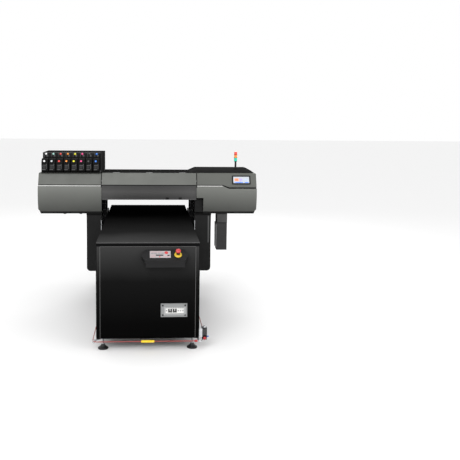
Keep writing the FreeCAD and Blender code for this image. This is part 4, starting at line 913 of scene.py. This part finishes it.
def make_cover_details():
    """Rubber seals in the joints, screws on the end caps, hinge leaves and the cover's handles."""
    low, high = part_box("left_upper_cover")
    front = low.y
    joint_low, joint_high = 1.0975, 1.1065
    lip_low, lip_high = joint_low + 0.0054, joint_high + 0.0035
    drop = 0.022
    proud = front - 0.0015
    seals = [((-1.018, proud, lip_low), (-0.437, front + 0.020, lip_high)),
             ((0.455, proud, lip_low), (0.702, front + 0.020, lip_high)),
             ((0.760, proud, lip_low - drop), (1.018, front + 0.020, lip_high - drop))]
    add_blocks("joint_seals", seals, "seal_black", "print_unit", 0.0006)
    slant = bmesh.new()
    add_sheet(slant, [(0.7015, lip_low), (0.7605, lip_low - drop), (0.7605, lip_high - drop),
                      (0.7015, lip_high)], proud, front + 0.020)
    finish_piece("joint_seal_slant", slant, "seal_black", "print_unit")

    band_low, band_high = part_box("front_cover_band")
    gaps = bmesh.new()
    for x in (-0.4415, 0.4525):
        add_ribbon(gaps, [(0.0025, 0.970), (0.0025, 1.105), (0.0455, 1.2085), (0.0545, 1.2180),
                          (0.0620, 1.2182)], front - 0.004, x, x + 0.006, 0.004)
    finish_piece("cover_side_seals", gaps, "seal_black", "print_unit", smooth=60)
    window_low, window_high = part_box("front_cover_window")
    strip = [((band_low.x + 0.002, proud, lip_low), (band_high.x - 0.002, front + 0.004, lip_high))]
    add_blocks("cover_joint_strip", strip, "seal_black", "front_cover", 0.0004)
    fill = [((band_low.x + 0.002, front + 0.0002, joint_low - 0.001),
             (band_high.x - 0.002, front + 0.004, lip_low))]
    add_blocks("cover_top_pane", fill, "smoked_pane", "front_cover", 0.0003)
    lip = [((window_low.x + 0.004, front - 0.0004, window_low.z + 0.0045),
            (window_high.x - 0.004, front + 0.0004, window_low.z + 0.0075))]
    add_blocks("cover_lower_lip", lip, "edge_grey", "front_cover", 0.0003)
    tabs = [((x - 0.014, front - 0.0085, 0.9725), (x + 0.014, front + 0.001, 0.9920)) for x in GRIPS]
    add_blocks("cover_grips", tabs, "black_plastic", "front_cover", 0.0022)
    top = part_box("middle_cover")[1].z
    leaves = [((x, front + 0.0685, top - 0.0002), (x + HINGE_WIDTH, front + 0.090, top + 0.0016))
              for x in HINGES]
    add_blocks("cover_hinges", leaves, "foot_black", "print_unit", 0.0005)

    lower_spots = ((front + 0.05, 0.90), (front + 0.40, 0.90), (front + 0.40, 1.06), (front + 0.04, 1.06))
    seats = []
    for side in SIDES:
        seats += [facing((side * LOWER_CAP_SIDE, y, z), (side, 0, 0)) for y, z in lower_spots]
        seats += [facing((side * UPPER_CAP_SIDE, y, 1.16), (side, 0, 0))
                  for y in (front + 0.10, front + 0.40)]
    add_lathes("end_cap_screws", screw_outline(0.0042), seats, "foot_black", "print_unit", 16)

    vents = []
    for side in SIDES:
        start, end = sorted((side * 0.55, side * 0.95))
        vents += stacked((start, high.y - 0.0005, 0.93), (end, high.y + 0.0025, 0.936), 0.013, 10)
    add_blocks("rear_vents", vents, "cover_dark", "print_unit", 0.0008)
    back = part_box("middle_cover")[1].y
    rows = [(x, back, z) for x in (-0.40, -0.2, 0.0, 0.2, 0.42) for z in (0.99, 1.20)]
    add_screws("middle_cover_screws", rows, (0, 1, 0), 0.004, "print_unit", "foot_black")


def make_screen():
    """The screen's lit face with plain blocks of colour."""
    low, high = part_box("lcd_screen")
    lean = Matrix.Rotation(-math.atan(44 / 102.5), 4, "X")
    corner = Matrix.Translation((low.x, low.y + 0.0002, low.z + 0.0012)) @ lean
    wide = high.x - low.x
    tall = 0.0664

    patches = (("screen_lit", 0.015, 0.03, 0.985, 0.97, "lcd_white", 0.0),
               ("screen_icon_warm", 0.08, 0.34, 0.33, 0.72, "lcd_orange", 0.0006),
               ("screen_icon_cool", 0.37, 0.34, 0.56, 0.72, "lcd_violet", 0.0006),
               ("screen_bar", 0.08, 0.06, 0.60, 0.19, "lcd_blue", 0.0006),
               ("screen_corner", 0.70, 0.06, 0.94, 0.19, "lcd_blue", 0.0006),
               ("screen_side", 0.64, 0.36, 0.93, 0.70, "lcd_pale", 0.0006))
    for name, left, bottom, right, top, paint, lift in patches:
        area = ((left * wide, -lift - 0.0004, bottom * tall), (right * wide, -lift + 0.0002, top * tall))
        add_blocks(name, [area], paint, "print_unit", 0.0001, corner)


def make_tower():
    """Fluted lenses of the tower light, with black rings between them."""
    low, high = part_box("tower_lenses")
    centre = (low + high) / 2
    radius = (high.x - low.x) / 2
    levels = (("green", 0.0, 0.034, "lens_green"), ("orange", 0.0344, 0.061, "lens_orange"),
              ("red", 0.0614, 0.091, "lens_red"))
    steps = 7
    for name, start, end, paint in levels:
        rounded = [(0, start), (radius - 0.0005, start), (radius - 0.0005, start + 0.002),
                   (radius, start + 0.003)]
        for k in range(steps):
            z = start + 0.004 + (end - start - 0.008) * k / steps
            rounded += [(radius, z), (radius - 0.0006, z + (end - start - 0.008) / steps * 0.5)]
        if name == "red":
            rounded += [(radius, end - 0.006), (radius - 0.002, end - 0.002), (radius * 0.55, end),
                        (0, end)]
        else:
            rounded += [(radius, end - 0.003), (radius - 0.0005, end - 0.002), (radius - 0.0005, end),
                        (0, end)]
        piece = add_lathes(f"tower_{name}", rounded, [Matrix.Translation((centre.x, centre.y, low.z))],
                           paint, "print_unit", 40)
        if name == "green":
            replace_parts(piece, "tower_lenses")
    rings = []
    for z in (0.0, 0.0342, 0.0612):
        rings.append(Matrix.Translation((centre.x, centre.y, low.z + z)))
    add_lathes("tower_rings", [(0.004, -0.0022), (radius + 0.0006, -0.0022), (radius + 0.001, -0.0012),
                               (radius + 0.001, 0.0012), (radius + 0.0006, 0.0022), (0.004, 0.0022)],
               rings, "foot_black", "print_unit", 40)


# ---- ink rack

INKS = ("ink_white", "ink_aqua", "ink_red", "ink_orange", "ink_yellow", "ink_pink", "ink_black",
        "ink_blue")
TRAY_INKS = ("ink_white", "ink_grey", "ink_red", "ink_orange", "ink_yellow", "ink_pink", "ink_black",
             "ink_blue")


def make_ink_rack():
    """Coloured ink marks over each bay and on each cassette, with handles, latches and labels."""
    rack_low, rack_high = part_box("ink_rack")
    first_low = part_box("ink_cassette_1")[0]
    rack_front = first_low.y + 0.130
    for k, (ink, tray_ink) in enumerate(zip(INKS, TRAY_INKS)):
        low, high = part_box(f"ink_cassette_{k + 1}")
        body = f"cassette_{k + 1}"
        front = low.y
        disc = [(0.0095, 0), (0.0095, 0.001), (0.0085, 0.0018), (0, 0.002)]
        mark = facing((low.x + 0.025, rack_front, 1.3865), (0, -1, 0))
        add_lathes(f"rack_mark_{k + 1}", disc, [mark], ink, "print_unit", 28)
        lean = (0, -0.817, 0.577)
        spot = Vector((low.x + 0.025, front + 0.0084, high.z - 0.0228))
        add_lathes(f"cassette_mark_{k + 1}", disc, [facing(spot, lean)], tray_ink, body, 28)
        details = bmesh.new()
        add_block(details, (high.x - 0.0165, front - 0.004, low.z + 0.030),
                  (high.x - 0.0105, front + 0.002, high.z - 0.048), 0.0018)
        add_block(details, (low.x + 0.010, front - 0.006, high.z - 0.064),
                  (high.x - 0.010, front + 0.004, high.z - 0.057), 0.002)
        add_block(details, (low.x + 0.008, front - 0.0015, low.z + 0.022),
                  (high.x - 0.020, front + 0.001, low.z + 0.030), 0.0006)
        finish_piece(f"cassette_grip_{k + 1}", details, "grip_grey", body)
        label = [((low.x + 0.010, front - 0.0006, low.z + 0.034),
                  (high.x - 0.021, front + 0.0002, low.z + 0.058))]
        add_blocks(f"cassette_label_{k + 1}", label, "foot_black", body, 0.0002)
        latch = bmesh.new()
        add_block(latch, (low.x + 0.028, rack_front - 0.004, 1.356),
                  (low.x + 0.044, rack_front + 0.001, 1.378), 0.0015)
        add_block(latch, (low.x + 0.005, rack_front - 0.0015, 1.352),
                  (low.x + 0.010, rack_front + 0.001, 1.396), 0.0006)
        finish_piece(f"rack_latch_{k + 1}", latch, "grip_grey", "print_unit")
    seam = [((rack_low.x + 0.002, rack_front - 0.0012, 1.3965),
             (rack_high.x - 0.016, rack_front + 0.0005, 1.399))]
    add_blocks("rack_top_lip", seam, "edge_grey", "print_unit", 0.0005)
    tray = [((rack_low.x + 0.001, rack_front - 0.128, 1.2171),
             (rack_high.x - 0.0145, rack_front, 1.2208))]
    add_blocks("rack_drip_tray", tray, "black_plastic", "print_unit", 0.0008)
    clip = [((rack_high.x - 0.022, rack_front - 0.118, 1.218),
             (rack_high.x - 0.008, rack_front - 0.108, 1.240))]
    add_blocks("rack_clip", clip, "foot_black", "print_unit", 0.0015)


# ---- inside the print unit

NOZZLE_PLATES = 3
NOZZLE_PITCH = 0.052


def make_inside():
    """Nozzle plates, lamp windows, fins and tubes on the head carriage, and caps below it."""
    low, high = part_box("head_carriage")
    plates, windows, fins = [], [], []
    for k in range(NOZZLE_PLATES):
        start = low.x + 0.108 + NOZZLE_PITCH * k
        plates.append(((start + 0.003, low.y + 0.027, low.z - 0.0008),
                       (start + 0.037, low.y + 0.110, low.z + 0.001)))
    for start in (low.x + 0.012, high.x - 0.082):
        windows.append(((start + 0.006, low.y + 0.018, 0.9835), (start + 0.064, low.y + 0.120, 0.985)))
        for k in range(9):
            x = start + 0.004 + 0.0075 * k
            fins.append(((x, low.y - 0.004, 1.02), (x + 0.003, low.y + 0.002, 1.115)))
    add_blocks("head_nozzle_plates", plates, "zinc_steel", "print_head", 0.0003)
    add_blocks("lamp_windows", windows, "lamp_glass", "print_head", 0.0003)
    add_blocks("lamp_fins", fins, "alloy", "print_head", 0.0006)
    port = [(0, 0), (0.004, 0), (0.004, 0.006), (0.0025, 0.008), (0.0025, 0.012), (0, 0.012)]
    seats = [Matrix.Translation((low.x + 0.10 + 0.022 * k, low.y + 0.075, high.z)) for k in range(8)]
    add_lathes("head_ink_ports", port, seats, "trim_light", "print_head", 14)
    cap_low, cap_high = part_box("capping_station")
    lips = []
    for k in range(NOZZLE_PLATES):
        start = low.x + 0.110 + NOZZLE_PITCH * k
        lips.append(((start + 0.004, cap_low.y + 0.022, cap_high.z),
                     (start + 0.032, cap_low.y + 0.108, cap_high.z + 0.003)))
    add_blocks("cap_lips", lips, "seal_black", "print_unit", 0.0012)


def make_hangers():
    """Slot liner, screws and louvres of the leg covers, and the drain bottle's details."""
    low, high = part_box("leg_covers")
    front = low.y
    liner = [((0.5665, front + 0.0006, 0.5515), (0.5815, front + 0.0030, 0.8105))]
    add_blocks("leg_slot_liner", liner, "grip_grey", "print_unit", 0.0006)
    places = []
    for side in SIDES:
        places += [(side * 0.452, front, 0.345), (side * 0.530, front, 0.345), (side * 0.452, front, 0.80)]
    add_screws("leg_cover_screws", places, (0, -1, 0), 0.0035, "print_unit", "foot_black")
    vents = []
    for side in SIDES:
        skin = low.x if side < 0 else high.x
        spread = sorted((skin - side * 0.0005, skin + side * 0.0018))
        vents += stacked((spread[0], front + 0.08, 0.40), (spread[1], front + 0.22, 0.406), 0.014, 12)
    add_blocks("leg_cover_vents", vents, "cover_dark", "print_unit", 0.0006)

    low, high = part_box("drain_bottle")
    ribs = stacked((low.x + 0.020, low.y - 0.0015, low.z + 0.03),
                   (high.x - 0.012, low.y + 0.001, low.z + 0.036), 0.055, 4)
    add_blocks("bottle_ribs", ribs, "bottle", "waste_bottle", 0.0012)
    holder_low, holder_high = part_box("drain_holder")
    side, near = holder_low.x, holder_low.y
    notches = [((side - 0.002, near + 0.004, 0.796), (side + 0.004, near + 0.040, 0.812)),
               ((side - 0.002, near + 0.004, 0.486), (side + 0.003, near + 0.030, 0.500))]
    add_blocks("drain_latches", notches, "seal_black", "print_unit", 0.001)
    # Light strip down the bottle's left front edge: a painted highlight.
    edge = [((low.x + 0.001, low.y - 0.0012, low.z + 0.022), (low.x + 0.006, low.y, high.z - 0.012))]
    add_blocks("bottle_edge_highlight", edge, "bottle_light", "waste_bottle", 0.0005)
    face = [((side + 0.003, near - 0.002, 0.746), (holder_high.x - 0.003, near + 0.001, 0.832))]
    add_blocks("drain_holder_face", face, "drain_light", "print_unit", 0.0015)


make_camera()
make_studio()
paint_nodes()
make_table()
make_table_edge()
make_feet()
make_cabinet_trim()
make_controls()
make_breakers()
make_rope_details()
make_gantry_details()
make_cover_details()
make_screen()
make_tower()
make_ink_rack()
make_inside()
make_hangers()
